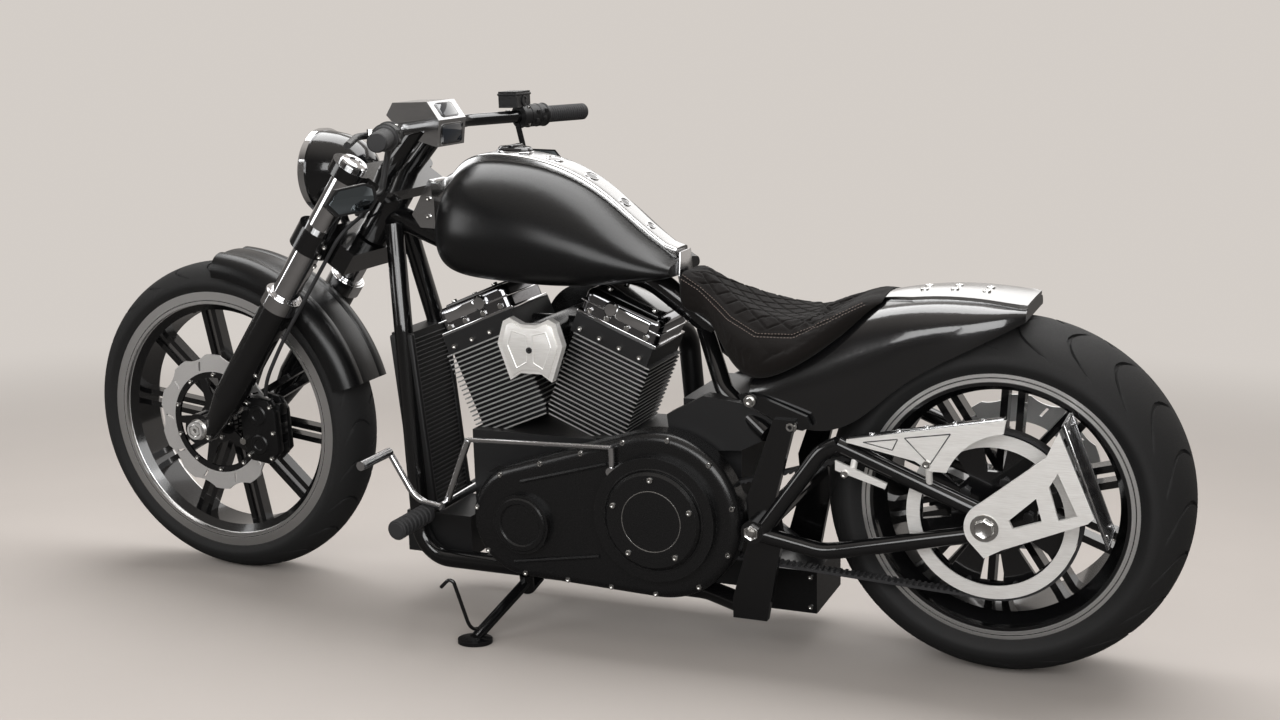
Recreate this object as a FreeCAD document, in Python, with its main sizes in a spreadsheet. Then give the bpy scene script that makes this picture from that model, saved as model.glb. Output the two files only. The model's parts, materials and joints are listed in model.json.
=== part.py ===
import FreeCAD, Part
import math
import os
import Sketcher

# Chopper motorcycle, leaning on its side stand.
# Every sub-part is modelled in the upright bike frame, in mm: x forward, y to the left, z up,
# the rear axle above x = 0 and the ground at z = 0. One common placement then leans the whole
# bike on its stand and puts the origin under the middle of its box.

doc = FreeCAD.newDocument("chopper_motorcycle")
sheet = doc.addObject("Spreadsheet::Sheet", "sizes")

# Driving dimensions

SIZES = {
    # stance
    "lean_angle": 5.0,
    "cut_overrun": 20.0,
    "running_gap": 0.05,
    "seat_gap": 0.3,
    # steering head and fork
    "rake_angle": 35.0,
    "neck_x": 1269.0,
    "neck_z": 800.0,
    "neck_outer_radius": 32.0,
    "neck_half_height": 58.0,
    "stem_radius": 17.0,
    "fork_offset": 59.0,
    "axle_lead": 20.0,
    "fork_spread": 118.0,
    "fork_tube_radius": 28.0,
    "fork_tube_top": 96.0,
    "upper_clamp_level": 66.0,
    "upper_clamp_height": 26.0,
    "lower_clamp_level": -112.0,
    "lower_clamp_height": 50.0,
    "clamp_wall": 14.0,
    "clamp_web_half": 34.0,
    "slider_radius": 34.0,
    "slider_top": -262.0,
    "collar_radius": 39.0,
    "collar_height": 30.0,
    "slider_foot": 34.0,
    "slider_foot_half": 17.0,
    # wheels and tyres
    "front_radius": 344.7,
    "front_width": 130.0,
    "front_shoulder_drop": 32.0,
    "front_rim_radius": 267.0,
    "front_lip_radius": 285.0,
    "front_rim_width": 112.0,
    "front_hub_radius": 42.0,
    "front_hub_width": 120.0,
    "front_spoke_width": 12.0,
    "front_spoke_gap": 14.0,
    "front_spoke_depth": 26.0,
    "rear_radius": 324.6,
    "rear_width": 240.0,
    "rear_shoulder_drop": 45.0,
    "rear_rim_radius": 229.0,
    "rear_lip_radius": 243.0,
    "rear_rim_width": 212.0,
    "rear_hub_radius": 50.0,
    "rear_hub_width": 244.0,
    "rear_spoke_width": 13.0,
    "rear_spoke_gap": 16.0,
    "rear_spoke_depth": 36.0,
    "front_spoke_turn": 7.0,
    "rear_spoke_turn": 21.0,
    "rim_lip_wall": 6.0,
    "rim_wall": 9.0,
    "rim_well_depth": 16.0,
    "axle_radius": 12.5,
    "axle_bore_radius": 5.5,
    "axle_nut_radius": 19.0,
    "axle_nut_height": 14.0,
    # brakes
    "disc_radius": 150.0,
    "disc_inner_radius": 112.0,
    "disc_wall": 5.0,
    "disc_gap": 6.0,
    "disc_wave_radius": 70.0,
    "disc_wave_depth": 9.0,
    "disc_slot_width": 5.0,
    "carrier_hub_radius": 46.0,
    "carrier_arm_width": 13.0,
    "caliper_wall": 26.0,
    "caliper_slot": 17.0,
    "caliper_reach": 78.0,
    "caliper_height": 150.0,
    # belt drive
    "pulley_radius": 147.5,
    "pulley_width": 32.0,
    "pulley_rim_wall": 12.0,
    "pulley_web_wall": 10.0,
    "pulley_ring_wall": 3.0,
    "pulley_ring_inner": 124.0,
    "sprocket_x": 503.0,
    "sprocket_z": 262.0,
    "sprocket_radius": 62.0,
    "belt_width": 24.0,
    "belt_thickness": 5.0,
    "belt_clearance": 1.0,
    # swingarm
    "swing_pivot_x": 418.0,
    "swing_pivot_z": 268.0,
    "swing_spread": 186.0,
    "swing_tube_radius": 15.0,
    "swing_upper_x": 262.0,
    "swing_upper_z": 440.0,
    "swing_lower_x": 262.0,
    "swing_lower_z": 246.0,
    "swing_carrier_radius": 36.0,
    "swing_carrier_wall": 26.0,
    # frame
    "backbone_radius": 24.0,
    "backbone_knee_x": 1092.0,
    "backbone_knee_z": 738.0,
    "backbone_crest_x": 690.0,
    "backbone_crest_z": 695.0,
    "backbone_rear_x": 552.0,
    "backbone_rear_z": 596.0,
    "downtube_radius": 19.0,
    "downtube_low_spread": 92.0,
    "downtube_low_x": 1172.0,
    "rail_z": 106.0,
    "rail_rear_x": 452.0,
    "seat_tube_radius": 17.0,
    "seat_tube_spread": 95.0,
    "pivot_plate_wall": 16.0,
    "pivot_plate_inner": 152.0,
    # engine
    "crank_x": 878.0,
    "crank_z": 240.0,
    "cylinder_angle": 22.5,
    "cylinder_base": 172.0,
    "cylinder_bore_radius": 60.0,
    "fin_wall": 3.0,
    "fin_pitch": 9.2,
    "fin_half_depth": 82.0,
    "fin_outer_reach": 92.0,
    "fin_inner_reach": 76.0,
    "head_height": 39.0,
    "rocker_height": 52.0,
    "rocker_reach": 84.0,
    "rocker_half_depth": 74.0,
    "case_half_width": 104.0,
    "gearbox_x": 470.0,
    "gearbox_top": 392.0,
    "primary_inner": 153.0,
    "primary_face": 204.0,
    "clutch_x": 602.0,
    "clutch_z": 278.0,
    "clutch_case_radius": 160.0,
    "crank_case_radius": 112.0,
    "clutch_boss_radius": 118.0,
    "clutch_boss_rise": 18.0,
    "crank_boss_radius": 58.0,
    "crank_boss_rise": 14.0,
    "derby_radius": 93.0,
    "derby_rise": 10.0,
    "derby_ring_radius": 57.6,
    "derby_groove": 2.0,
    "cam_cover_radius": 92.0,
    "cam_cover_rise": 44.0,
    "pushrod_radius": 11.0,
    "coil_cover_width": 138.0,
    "coil_cover_height": 122.0,
    "coil_cover_wall": 18.0,
    "coil_cover_y": 128.0,
    "coil_cover_z": 566.0,
    "air_cleaner_radius": 92.0,
    "air_cleaner_depth": 74.0,
    "air_cleaner_z": 560.0,
    "intake_radius": 26.0,
    "intake_z": 588.0,
    "cooler_width": 150.0,
    "cooler_height": 372.0,
    "cooler_lean": 34.0,
    "cooler_depth": 42.0,
    "cooler_z": 196.0,
    "chin_length": 150.0,
    "chin_height": 96.0,
    # exhaust
    "pipe_radius": 22.0,
    "pipe_bend": 70.0,
    "box_x": 346.0,
    "box_length": 120.0,
    "box_y": -130.0,
    "box_width": 166.0,
    "box_z": 60.0,
    "box_height": 84.0,
    # tank
    "tank_front_x": 1116.0,
    "tank_length": 500.0,
    "tank_bottom_z": 683.0,
    "tank_height": 236.0,
    "tank_half_width": 170.0,
    "tank_trim_half_width": 45.0,
    "tank_trim_wall": 11.0,
    "neck_bracket_length": 52.0,
    "neck_bracket_width": 60.0,
    "neck_bracket_z": 776.0,
    "neck_bracket_height": 98.0,
    "cap_radius": 34.0,
    "cap_height": 9.0,
    # seat
    "seat_front_x": 610.0,
    "seat_length": 402.0,
    "seat_bottom_z": 500.0,
    "seat_height": 212.0,
    "seat_half_width": 168.0,
    # rear fender
    "fender_rear_x": -40.0,
    "fender_length": 480.0,
    "fender_wall": 4.0,
    "fender_top_z": 690.0,
    "fender_drop": 250.0,
    "fender_half_width": 142.0,
    "fender_trim_wall": 5.0,
    "strut_wall": 10.0,
    # front fender
    "front_fender_gap": 22.0,
    "front_fender_wall": 4.0,
    "front_fender_half_width": 79.0,
    "front_fender_side": 46.0,
    "brace_width": 42.0,
    "brace_height": 76.0,
    "brace_hole_radius": 7.0,
    "front_fender_start": 94.0,
    "front_fender_sweep": 70.0,
    # headlight, bar and controls
    "headlight_x": 1420.0,
    "headlight_z": 885.0,
    "headlight_radius": 89.0,
    "headlight_length": 128.0,
    "headlight_wall": 4.0,
    "headlight_ring_depth": 18.0,
    "bar_x": 1150.0,
    "bar_z": 980.0,
    "bar_radius": 12.7,
    "bar_half_width": 425.0,
    "bar_pullback": 137.0,
    "bar_straight_half": 130.0,
    "bar_bend": 90.0,
    "grip_radius": 18.0,
    "grip_length": 112.0,
    "switch_radius": 24.0,
    "switch_length": 46.0,
    "lever_radius": 6.5,
    "lever_reach": 62.0,
    "reservoir_width": 44.0,
    "reservoir_length": 62.0,
    "reservoir_height": 34.0,
    "riser_radius": 20.0,
    "riser_spread": 44.0,
    "hose_radius": 4.0,
    "dash_width": 108.0,
    "dash_length": 112.0,
    "dash_height": 64.0,
    "mirror_drop": 104.0,
    "mirror_stem_radius": 6.0,
    "mirror_width": 106.0,
    "mirror_height": 54.0,
    "mirror_wall": 10.0,
    "mirror_reach": 132.0,
    "mirror_turn": 27.0,
    # controls at the feet
    "peg_x": 1078.0,
    "peg_z": 246.0,
    "peg_radius": 17.0,
    "peg_inner": 226.0,
    "peg_outer": 338.0,
    "shift_pivot_x": 1039.0,
    "shift_pivot_z": 266.0,
    "shift_toe_x": 1148.0,
    "shift_toe_z": 366.0,
    "shift_rod_radius": 4.5,
    "shift_arm_wall": 9.0,
    # plate at the left of the rear wheel
    "plate_bracket_wall": 7.0,
    "plate_wall": 3.0,
    "plate_width": 92.0,
    "plate_height": 218.0,
    "plate_tilt": 21.0,
    # side covers
    "cover_x": 396.0,
    "cover_length": 204.0,
    "cover_z": 396.0,
    "cover_height": 104.0,
    "cover_inner": 112.0,
    "cover_wall": 34.0,
    # belt guard
    "guard_x": -30.0,
    "guard_length": 272.0,
    "guard_z": 412.0,
    "guard_height": 98.0,
    "guard_wall": 6.0,
    "guard_bar_length": 92.0,
    # plate bracket
    "bracket_length": 168.0,
    "bracket_height": 176.0,
    "shift_rod_z": 398.0,
    # side stand
    "stand_pivot_x": 914.0,
    "stand_pivot_y": 130.0,
    "stand_pivot_z": 92.0,
    "stand_foot_x": 942.0,
    "stand_foot_y": 300.0,
    "stand_radius": 11.0,
    "stand_boss_radius": 14.0,
    "stand_boss_height": 24.0,
    "stand_gap": 0.5,
    "stand_ear_length": 36.0,
    "stand_foot_length": 66.0,
    "stand_wire_x": 967.0,
    "stand_wire_y": 332.0,
    "stand_wire_height": 140.0,
    "stand_foot_wall": 8.0,
    "stand_wire_radius": 3.5,
    "stand_pin_radius": 8.0,
    "stand_ear_wall": 10.0,
}

for row, (alias, number) in enumerate(SIZES.items(), start=1):
    sheet.set(f"A{row}", alias)
    sheet.set(f"B{row}", str(number))
    sheet.setAlias(f"B{row}", alias)
doc.recompute()


# Lengths that know both their number and the sheet expression they come from

class Length:
    """A length in mm, with the expression over the sheet that gives it."""

    def __init__(self, number, text):
        self.number = number
        self.text = text

    def plus(self, number):
        """This length and a worked-out number of mm."""
        return Length(self.number + number, f"({self.text} + {number:.9f})")

    def __add__(self, other):
        return Length(self.number + other.number, f"({self.text} + {other.text})")

    def __sub__(self, other):
        return Length(self.number - other.number, f"({self.text} - {other.text})")

    def __mul__(self, share):
        return Length(self.number * share, f"({self.text} * {share:.9f})")

    def __truediv__(self, share):
        return self * (1 / share)

    def __neg__(self):
        return self * -1


class Sheet:
    """Gives each cell of the sheet as a Length by its alias."""

    def __getattr__(self, alias):
        return Length(float(sheet.get(alias)), "sizes." + alias)


S = Sheet()
ZERO = Length(0.0, "0")


def radians(alias):
    """An angle of the sheet in radians."""
    return math.radians(float(sheet.get(alias)))


def spot(x, y, z):
    """A point from three lengths."""
    return FreeCAD.Vector(x.number, y.number, z.number)


def bind(feature, name, length):
    """Sets a property from the sheet."""
    feature.setExpression(name, length.text)


# Places that several sub-parts share

RAKE = radians("rake_angle")
LEAN_ANGLE = radians("lean_angle")
X_AXIS = FreeCAD.Vector(1, 0, 0)
Y_AXIS = FreeCAD.Vector(0, 1, 0)
Z_AXIS = FreeCAD.Vector(0, 0, 1)

axle_forward = S.fork_offset + S.axle_lead
axle_drop = (S.neck_z + axle_forward * math.sin(RAKE) - S.front_radius) / math.cos(RAKE)
wheelbase = S.neck_x + axle_drop * math.sin(RAKE) + axle_forward * math.cos(RAKE)
shoulder_share = 0.875
rear_shoulder = S.rear_width * (shoulder_share / 2)
crown_radius = (rear_shoulder.number ** 2 + S.rear_shoulder_drop.number ** 2) / (2 * S.rear_shoulder_drop.number)

LEAN = FreeCAD.Placement(
    FreeCAD.Vector(
        -(wheelbase + S.front_radius - S.rear_radius).number / 2,
        -S.bar_z.number * math.sin(LEAN_ANGLE),
        crown_radius * (1 - math.cos(LEAN_ANGLE)),
    ),
    FreeCAD.Rotation(X_AXIS, -math.degrees(LEAN_ANGLE)),
)
UPRIGHT = FreeCAD.Placement()
FORK = FreeCAD.Placement(
    spot(S.neck_x, ZERO, S.neck_z),
    FreeCAD.Rotation(Y_AXIS, -math.degrees(RAKE)),
)
REAR_WHEEL = FreeCAD.Placement(spot(ZERO, ZERO, S.rear_radius), FreeCAD.Rotation())
FRONT_WHEEL = FreeCAD.Placement(spot(wheelbase, ZERO, S.front_radius), FreeCAD.Rotation())


def turned(wheel, alias):
    """A wheel's placement, turned about its axle by an angle of the sheet."""
    return wheel.multiply(FreeCAD.Placement(FreeCAD.Vector(),
        FreeCAD.Rotation(Y_AXIS, -math.degrees(radians(alias)))))


def on_fork(ahead, y, up):
    """A point given in the fork's own frame, which leans with the rake."""
    return (
        S.neck_x + ahead * math.cos(RAKE) - up * math.sin(RAKE), y,
        S.neck_z + ahead * math.sin(RAKE) + up * math.cos(RAKE),
    )


sub_parts = {}


def keep(label, feature, place=UPRIGHT, clear_of=()):
    """Names a finished sub-part, leans it with the bike and makes room in it for the pieces it meets."""
    if feature.TypeId in ("Part::Cylinder", "Part::Box"):
        feature = together(feature)
    feature.Placement = LEAN.multiply(place)
    for other in clear_of:
        feature.Label = label + "_before_" + other
        cut = doc.addObject("Part::Cut", "without_" + other)
        cut.Base = feature
        cut.Tool = sub_parts[other]
        feature = cut
    feature.Label = label
    sub_parts[label] = feature


# Sketches and features of a body

class Via:
    """A point that an arc of an outline passes on its way to the next corner."""

    def __init__(self, x, y):
        self.x = x
        self.y = y


def origin_plane(body, role):
    """The body's own origin plane with that role."""
    return [item for item in body.Origin.OriginFeatures if item.Role == role][0]


def new_sketch(body, role, level):
    """An empty sketch on one of the body's origin planes, lifted by a level."""
    sketch = body.newObject("Sketcher::SketchObject", body.Name + "_sketch")
    sketch.AttachmentSupport = [(origin_plane(body, role), "")]
    sketch.MapMode = "FlatFace"
    if role == "XZ_Plane":
        bind(sketch, "AttachmentOffset.Base.z", -level)
    else:
        bind(sketch, "AttachmentOffset.Base.z", level)
    return sketch


def hold_point(constraints, texts, edge, end, x, y):
    """Ties one point of a sketch to its two lengths."""
    for kind, length, axis in (("DistanceX", x, -2), ("DistanceY", y, -1)):
        if length is ZERO:
            constraints.append(Sketcher.Constraint("PointOnObject", edge, end, axis))
        else:
            texts[len(constraints)] = length.text
            constraints.append(Sketcher.Constraint(kind, -1, 1, edge, end, length.number))


def add_outline(sketch, path):
    """Draws a closed outline of corners, with an arc where a Via stands between two corners."""
    corners = []
    vias = {}
    for step in path:
        if isinstance(step, Via):
            vias[len(corners) - 1] = step
        else:
            corners.append(step)
    first_edge = sketch.GeometryCount
    ends = []
    edges = []
    for index, (x, y) in enumerate(corners):
        start = FreeCAD.Vector(x.number, y.number, 0)
        next_x, next_y = corners[(index + 1) % len(corners)]
        stop = FreeCAD.Vector(next_x.number, next_y.number, 0)
        if index in vias:
            middle = FreeCAD.Vector(vias[index].x.number, vias[index].y.number, 0)
            left_turn = (middle - start).cross(stop - start).z > 0
            if left_turn:
                edges.append(Part.ArcOfCircle(start, middle, stop))
            else:
                edges.append(Part.ArcOfCircle(stop, middle, start))
            ends.append((1, 2) if left_turn else (2, 1))
        else:
            edges.append(Part.LineSegment(start, stop))
            ends.append((1, 2))
    sketch.addGeometry(edges, False)
    constraints = []
    texts = {}
    for index, (x, y) in enumerate(corners):
        following = (index + 1) % len(corners)
        edge = first_edge + index
        constraints.append(
            Sketcher.Constraint("Coincident", edge, ends[index][1], first_edge + following,
                ends[following][0])
        )
        hold_point(constraints, texts, edge, ends[index][0], x, y)
    for index, via in vias.items():
        mark = sketch.GeometryCount
        sketch.addGeometry(Part.Point(FreeCAD.Vector(via.x.number, via.y.number, 0)), True)
        hold_point(constraints, texts, mark, 1, via.x, via.y)
        constraints.append(Sketcher.Constraint("PointOnObject", mark, 1, first_edge + index))
    add_held(sketch, constraints, texts)


def add_circle(sketch, x, y, radius):
    """Draws a circle held by its centre and its radius."""
    edge = sketch.GeometryCount
    sketch.addGeometry(Part.Circle(FreeCAD.Vector(x.number, y.number, 0), Z_AXIS, radius.number), False)
    constraints = []
    texts = {}
    hold_point(constraints, texts, edge, 3, x, y)
    texts[len(constraints)] = radius.text
    constraints.append(Sketcher.Constraint("Radius", edge, radius.number))
    add_held(sketch, constraints, texts)


def add_held(sketch, constraints, texts):
    """Adds constraints and ties their values to the sheet."""
    first = sketch.ConstraintCount
    sketch.addConstraint(constraints)
    for index, text in texts.items():
        sketch.setExpression(f"Constraints[{first + index}]", text)


def outline(body, role, *paths, level=ZERO):
    """A sketch of one or more closed outlines."""
    sketch = new_sketch(body, role, level)
    for path in paths:
        add_outline(sketch, path)
    return sketch


def circles(body, role, *rounds, level=ZERO):
    """A sketch of circles, each given as x, y and radius."""
    sketch = new_sketch(body, role, level)
    for x, y, radius in rounds:
        add_circle(sketch, x, y, radius)
    return sketch


def new_body(label):
    """A body that will become one sub-part."""
    return doc.addObject("PartDesign::Body", label)


def pad(body, sketch, length, towards="both"):
    """Adds the sketch's outline, to both sides, or towards the plane's normal or against it."""
    feature = body.newObject("PartDesign::Pad", body.Name + "_pad")
    feature.Profile = sketch
    bind(feature, "Length", length)
    feature.Midplane = towards == "both"
    feature.Reversed = towards == "against"
    body.Tip = feature
    return feature


def pocket(body, sketch):
    """Cuts the sketch's outline through the whole body."""
    feature = body.newObject("PartDesign::Pocket", body.Name + "_pocket")
    feature.Profile = sketch
    feature.Type = "ThroughAll"
    feature.Midplane = True
    body.Tip = feature
    return feature


def recess(body, sketch, depth, towards="normal"):
    """Cuts the sketch's outline to a depth, towards the plane's normal or against it."""
    feature = body.newObject("PartDesign::Pocket", body.Name + "_recess")
    feature.Profile = sketch
    bind(feature, "Length", depth)
    feature.Reversed = towards == "normal"
    body.Tip = feature
    return feature


def turn(body, sketch, angle=360.0, backwards=False, axis="V_Axis"):
    """Revolves the sketch's outline round its own axis."""
    feature = body.newObject("PartDesign::Revolution", body.Name + "_turn")
    feature.Profile = sketch
    feature.ReferenceAxis = (sketch, [axis])
    feature.Angle = angle
    feature.Reversed = backwards
    body.Tip = feature
    return feature


def around(body, features, sketch, count):
    """Repeats features evenly round the sketch's normal."""
    pattern = body.newObject("PartDesign::PolarPattern", body.Name + "_pattern")
    pattern.Originals = features
    pattern.Axis = (sketch, ["N_Axis"])
    pattern.Angle = 360.0
    pattern.Occurrences = count
    body.Tip = pattern
    return pattern


def along(body, features, sketch, axis, length, count):
    """Repeats features evenly along one axis of the sketch."""
    pattern = body.newObject("PartDesign::LinearPattern", body.Name + "_row")
    pattern.Originals = features
    pattern.Direction = (sketch, [axis])
    bind(pattern, "Length", length)
    pattern.Occurrences = count
    body.Tip = pattern
    return pattern


def soften(body, radius, chosen):
    """Rounds the edges of the body's last feature that the given test picks."""
    doc.recompute()
    base = body.Tip
    names = [
        f"Edge{number}"
        for number, edge in enumerate(base.Shape.Edges, start=1)
        if chosen(edge)
    ]
    feature = body.newObject("PartDesign::Fillet", body.Name + "_fillet")
    feature.Base = (base, names)
    bind(feature, "Radius", radius)
    body.Tip = feature
    return feature


def runs_along(edge, axis):
    """Whether a straight edge runs along an axis."""
    if edge.Curve.TypeId != "Part::GeomLine":
        return False
    return abs(edge.tangentAt(edge.FirstParameter).dot(axis)) > math.cos(math.radians(1))


def at_level(edge, axis, length):
    """Whether an edge lies wholly at a level of one axis."""
    box = edge.BoundBox
    low, high = {
        "x": (box.XMin, box.XMax),
        "y": (box.YMin, box.YMax),
        "z": (box.ZMin, box.ZMax),
    }[axis]
    near = S.seat_gap.number / 2
    return abs(low - length.number) < near and abs(high - length.number) < near


def shares_to_points(shares, x, width, y, height):
    """Corners of an outline from shares of a width and a height."""
    corners = []
    for step in shares:
        corner_x = x + width * step[0]
        corner_y = y + height * step[1]
        if len(step) > 2:
            corners.append(Via(corner_x, corner_y))
        else:
            corners.append((corner_x, corner_y))
    return corners


# Primitives and booleans

def span(start, end):
    """The distance between two points given by lengths."""
    squares = " + ".join(f"({b.text} - {a.text})^2" for a, b in zip(start, end))
    number = (spot(*end) - spot(*start)).Length
    return Length(number, f"sqrt({squares})")


def rod(start, end, radius):
    """A round bar between two points."""
    bar = doc.addObject("Part::Cylinder", "rod")
    bind(bar, "Radius", radius)
    bind(bar, "Height", span(start, end))
    direction = spot(*end) - spot(*start)
    bar.Placement = FreeCAD.Placement(spot(*start), FreeCAD.Rotation(Z_AXIS, direction))
    for axis, length in zip("xyz", start):
        bind(bar, f"Placement.Base.{axis}", length)
    return bar


def cone(start, end, first_radius, last_radius):
    """A round bar that tapers between two points."""
    bar = doc.addObject("Part::Cone", "cone")
    bind(bar, "Radius1", first_radius)
    bind(bar, "Radius2", last_radius)
    bind(bar, "Height", span(start, end))
    direction = spot(*end) - spot(*start)
    bar.Placement = FreeCAD.Placement(spot(*start), FreeCAD.Rotation(Z_AXIS, direction))
    return bar


def block(corner, length, width, height):
    """A box from its lowest corner."""
    item = doc.addObject("Part::Box", "block")
    bind(item, "Length", length)
    bind(item, "Width", width)
    bind(item, "Height", height)
    for axis, place in zip("xyz", corner):
        bind(item, f"Placement.Base.{axis}", place)
    return item


def joined(*items):
    """The union of several solids."""
    whole = doc.addObject("Part::MultiFuse", "joined")
    whole.Shapes = list(items)
    whole.Refine = True
    return whole


def without(base, *tools):
    """A solid with others taken out."""
    result = base
    for tool in tools:
        cut = doc.addObject("Part::Cut", "without")
        cut.Base = result
        cut.Tool = tool
        result = cut
    return result


def together(*items):
    """Several separate solids as one sub-part."""
    group = doc.addObject("Part::Compound", "together")
    group.Links = list(items)
    return group


def shaped(shape):
    """A sub-part whose shape is worked out here."""
    feature = doc.addObject("Part::Feature", "shaped")
    feature.Shape = shape
    return feature


def both_sides(maker):
    """One solid on the left and its twin on the right."""
    return together(maker(1), maker(-1))


def ring(points):
    """A smooth closed curve through points."""
    curve = Part.BSplineCurve()
    curve.interpolate(points, PeriodicFlag=True)
    return Part.Wire(curve.toShape())


def arc_path(points, bend):
    """Straight runs joined by tangent arcs of one radius, or as large as the runs allow."""
    spots = [spot(*point) for point in points]
    edges = []
    start = spots[0]
    for before, corner, after in zip(spots, spots[1:], spots[2:]):
        inward = (before - corner).normalize()
        outward = (after - corner).normalize()
        half_turn = (math.pi - inward.getAngle(outward)) / 2
        run_share = 0.45
        shorter = min((before - corner).Length, (after - corner).Length)
        radius = shorter * run_share / math.tan(half_turn)
        if bend is not None:
            radius = min(radius, bend.number)
        reach = radius * math.tan(half_turn)
        first = corner + inward * reach
        last = corner + outward * reach
        middle = corner + (inward + outward).normalize() * (radius / math.cos(half_turn) - radius)
        edges.append(Part.LineSegment(start, first).toShape())
        edges.append(Part.Arc(first, middle, last).toShape())
        start = last
    edges.append(Part.LineSegment(start, spots[-1]).toShape())
    return Part.Wire(edges)


def tube(points, radius, bend=None):
    """A round section swept along straight runs and tangent arcs."""
    path = arc_path(points, bend)
    direction = spot(*points[1]) - spot(*points[0])
    section = Part.Wire(Part.makeCircle(radius.number, spot(*points[0]), direction))
    return path.makePipeShell([section], True, True)


# Wheels

def tyre(label, width, radius, drop, rim_radius, lip_radius, rim_width, place):
    """A tyre with a round crown, bulging walls and beads that sit between the rim's lips."""
    bead = rim_width / 2 - S.rim_lip_wall
    shoulder = width * (shoulder_share / 2)
    wall_share = 0.55
    wall_radius = lip_radius + (radius - drop - lip_radius) * wall_share
    body = new_body(label)
    profile = outline(body, "XY_Plane", [
        (rim_radius, -bead),
        (lip_radius + S.running_gap, -bead),
        Via(wall_radius, -width / 2),
        (radius - drop, -shoulder),
        Via(radius, ZERO),
        (radius - drop, shoulder),
        Via(wall_radius, width / 2),
        (lip_radius + S.running_gap, bead),
        (rim_radius, bead),
    ])
    turn(body, profile)
    keep(label, body, place)


def rim(label, rim_radius, lip_radius, rim_width, hub_radius, hub_width, spoke_width, spoke_gap,
    spoke_depth, place):
    """A cast wheel: a bored hub, ten pairs of thin spokes and a lipped barrel."""
    bead = rim_width / 2 - S.rim_lip_wall
    inner = rim_radius - S.rim_wall
    well = inner - S.rim_well_depth
    well_half_share = 0.42
    well_half = rim_width * well_half_share
    centre_half_share = 0.3
    centre_half = rim_width * centre_half_share
    bore = S.axle_radius + S.running_gap
    flange = hub_radius / 2
    body = new_body(label)
    hub = outline(body, "XY_Plane", [
        (bore, -hub_width / 2),
        (hub_radius - flange / 2, -hub_width / 2),
        (hub_radius, -hub_width / 2 + flange / 2),
        (hub_radius, hub_width / 2 - flange / 2),
        (hub_radius - flange / 2, hub_width / 2),
        (bore, hub_width / 2),
    ])
    turn(body, hub)
    spoke_foot = hub_radius - S.rim_lip_wall
    near = spoke_gap / 2
    far = spoke_gap / 2 + spoke_width
    pair = outline(
        body, "XZ_Plane",
        [(spoke_foot, near), (well + S.rim_lip_wall, near), (well + S.rim_lip_wall, far),
            (spoke_foot, far)],
        [(spoke_foot, -far), (well + S.rim_lip_wall, -far), (well + S.rim_lip_wall, -near),
            (spoke_foot, -near)],
    )
    spokes = pad(body, pair, spoke_depth)
    around(body, [spokes], pair, 10)
    barrel = outline(body, "XY_Plane", [
        (lip_radius, -rim_width / 2),
        (lip_radius, -bead),
        (rim_radius, -bead),
        (rim_radius, -well_half),
        (well + S.rim_wall, -centre_half),
        (well + S.rim_wall, centre_half),
        (rim_radius, well_half),
        (rim_radius, bead),
        (lip_radius, bead),
        (lip_radius, rim_width / 2),
        (inner, rim_width / 2),
        (inner, well_half),
        (well, centre_half),
        (well, -centre_half),
        (inner, -well_half),
        (inner, -rim_width / 2),
    ])
    turn(body, barrel)
    keep(label, body, place)


tyre("front_tyre", S.front_width, S.front_radius, S.front_shoulder_drop,
     S.front_rim_radius, S.front_lip_radius, S.front_rim_width, FRONT_WHEEL)
tyre("rear_tyre", S.rear_width, S.rear_radius, S.rear_shoulder_drop,
     S.rear_rim_radius, S.rear_lip_radius, S.rear_rim_width, REAR_WHEEL)
rim("front_rim", S.front_rim_radius, S.front_lip_radius, S.front_rim_width, S.front_hub_radius,
    S.front_hub_width, S.front_spoke_width, S.front_spoke_gap, S.front_spoke_depth,
    turned(FRONT_WHEEL, "front_spoke_turn"))
rim("rear_rim", S.rear_rim_radius, S.rear_lip_radius, S.rear_rim_width, S.rear_hub_radius,
    S.rear_hub_width, S.rear_spoke_width, S.rear_spoke_gap, S.rear_spoke_depth,
    turned(REAR_WHEEL, "rear_spoke_turn"))


def brake_disc(label, level):
    """A wavy, slotted brake disc; level is the middle of its wall."""
    body = new_body(label)
    ring_sketch = circles(
        body, "XZ_Plane", (ZERO, ZERO, S.disc_radius), (ZERO, ZERO, S.disc_inner_radius), level=level
    )
    pad(body, ring_sketch, S.disc_wall)
    wave_centre = S.disc_radius + S.disc_wave_radius - S.disc_wave_depth
    wave_sketch = circles(body, "XZ_Plane", (wave_centre, ZERO, S.disc_wave_radius), level=level)
    wave = pocket(body, wave_sketch)
    slot_start = S.disc_inner_radius + S.disc_wall
    slot_end = S.disc_radius - S.disc_wave_depth - S.disc_wall
    slot_sketch = outline(body, "XZ_Plane", [
        (slot_start, -S.disc_slot_width / 2),
        (slot_end, S.disc_slot_width),
        (slot_end, S.disc_slot_width * 2),
        (slot_start, S.disc_slot_width / 2),
    ], level=level)
    slot = pocket(body, slot_sketch)
    around(body, [wave, slot], slot_sketch, 10)
    return body


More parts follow.
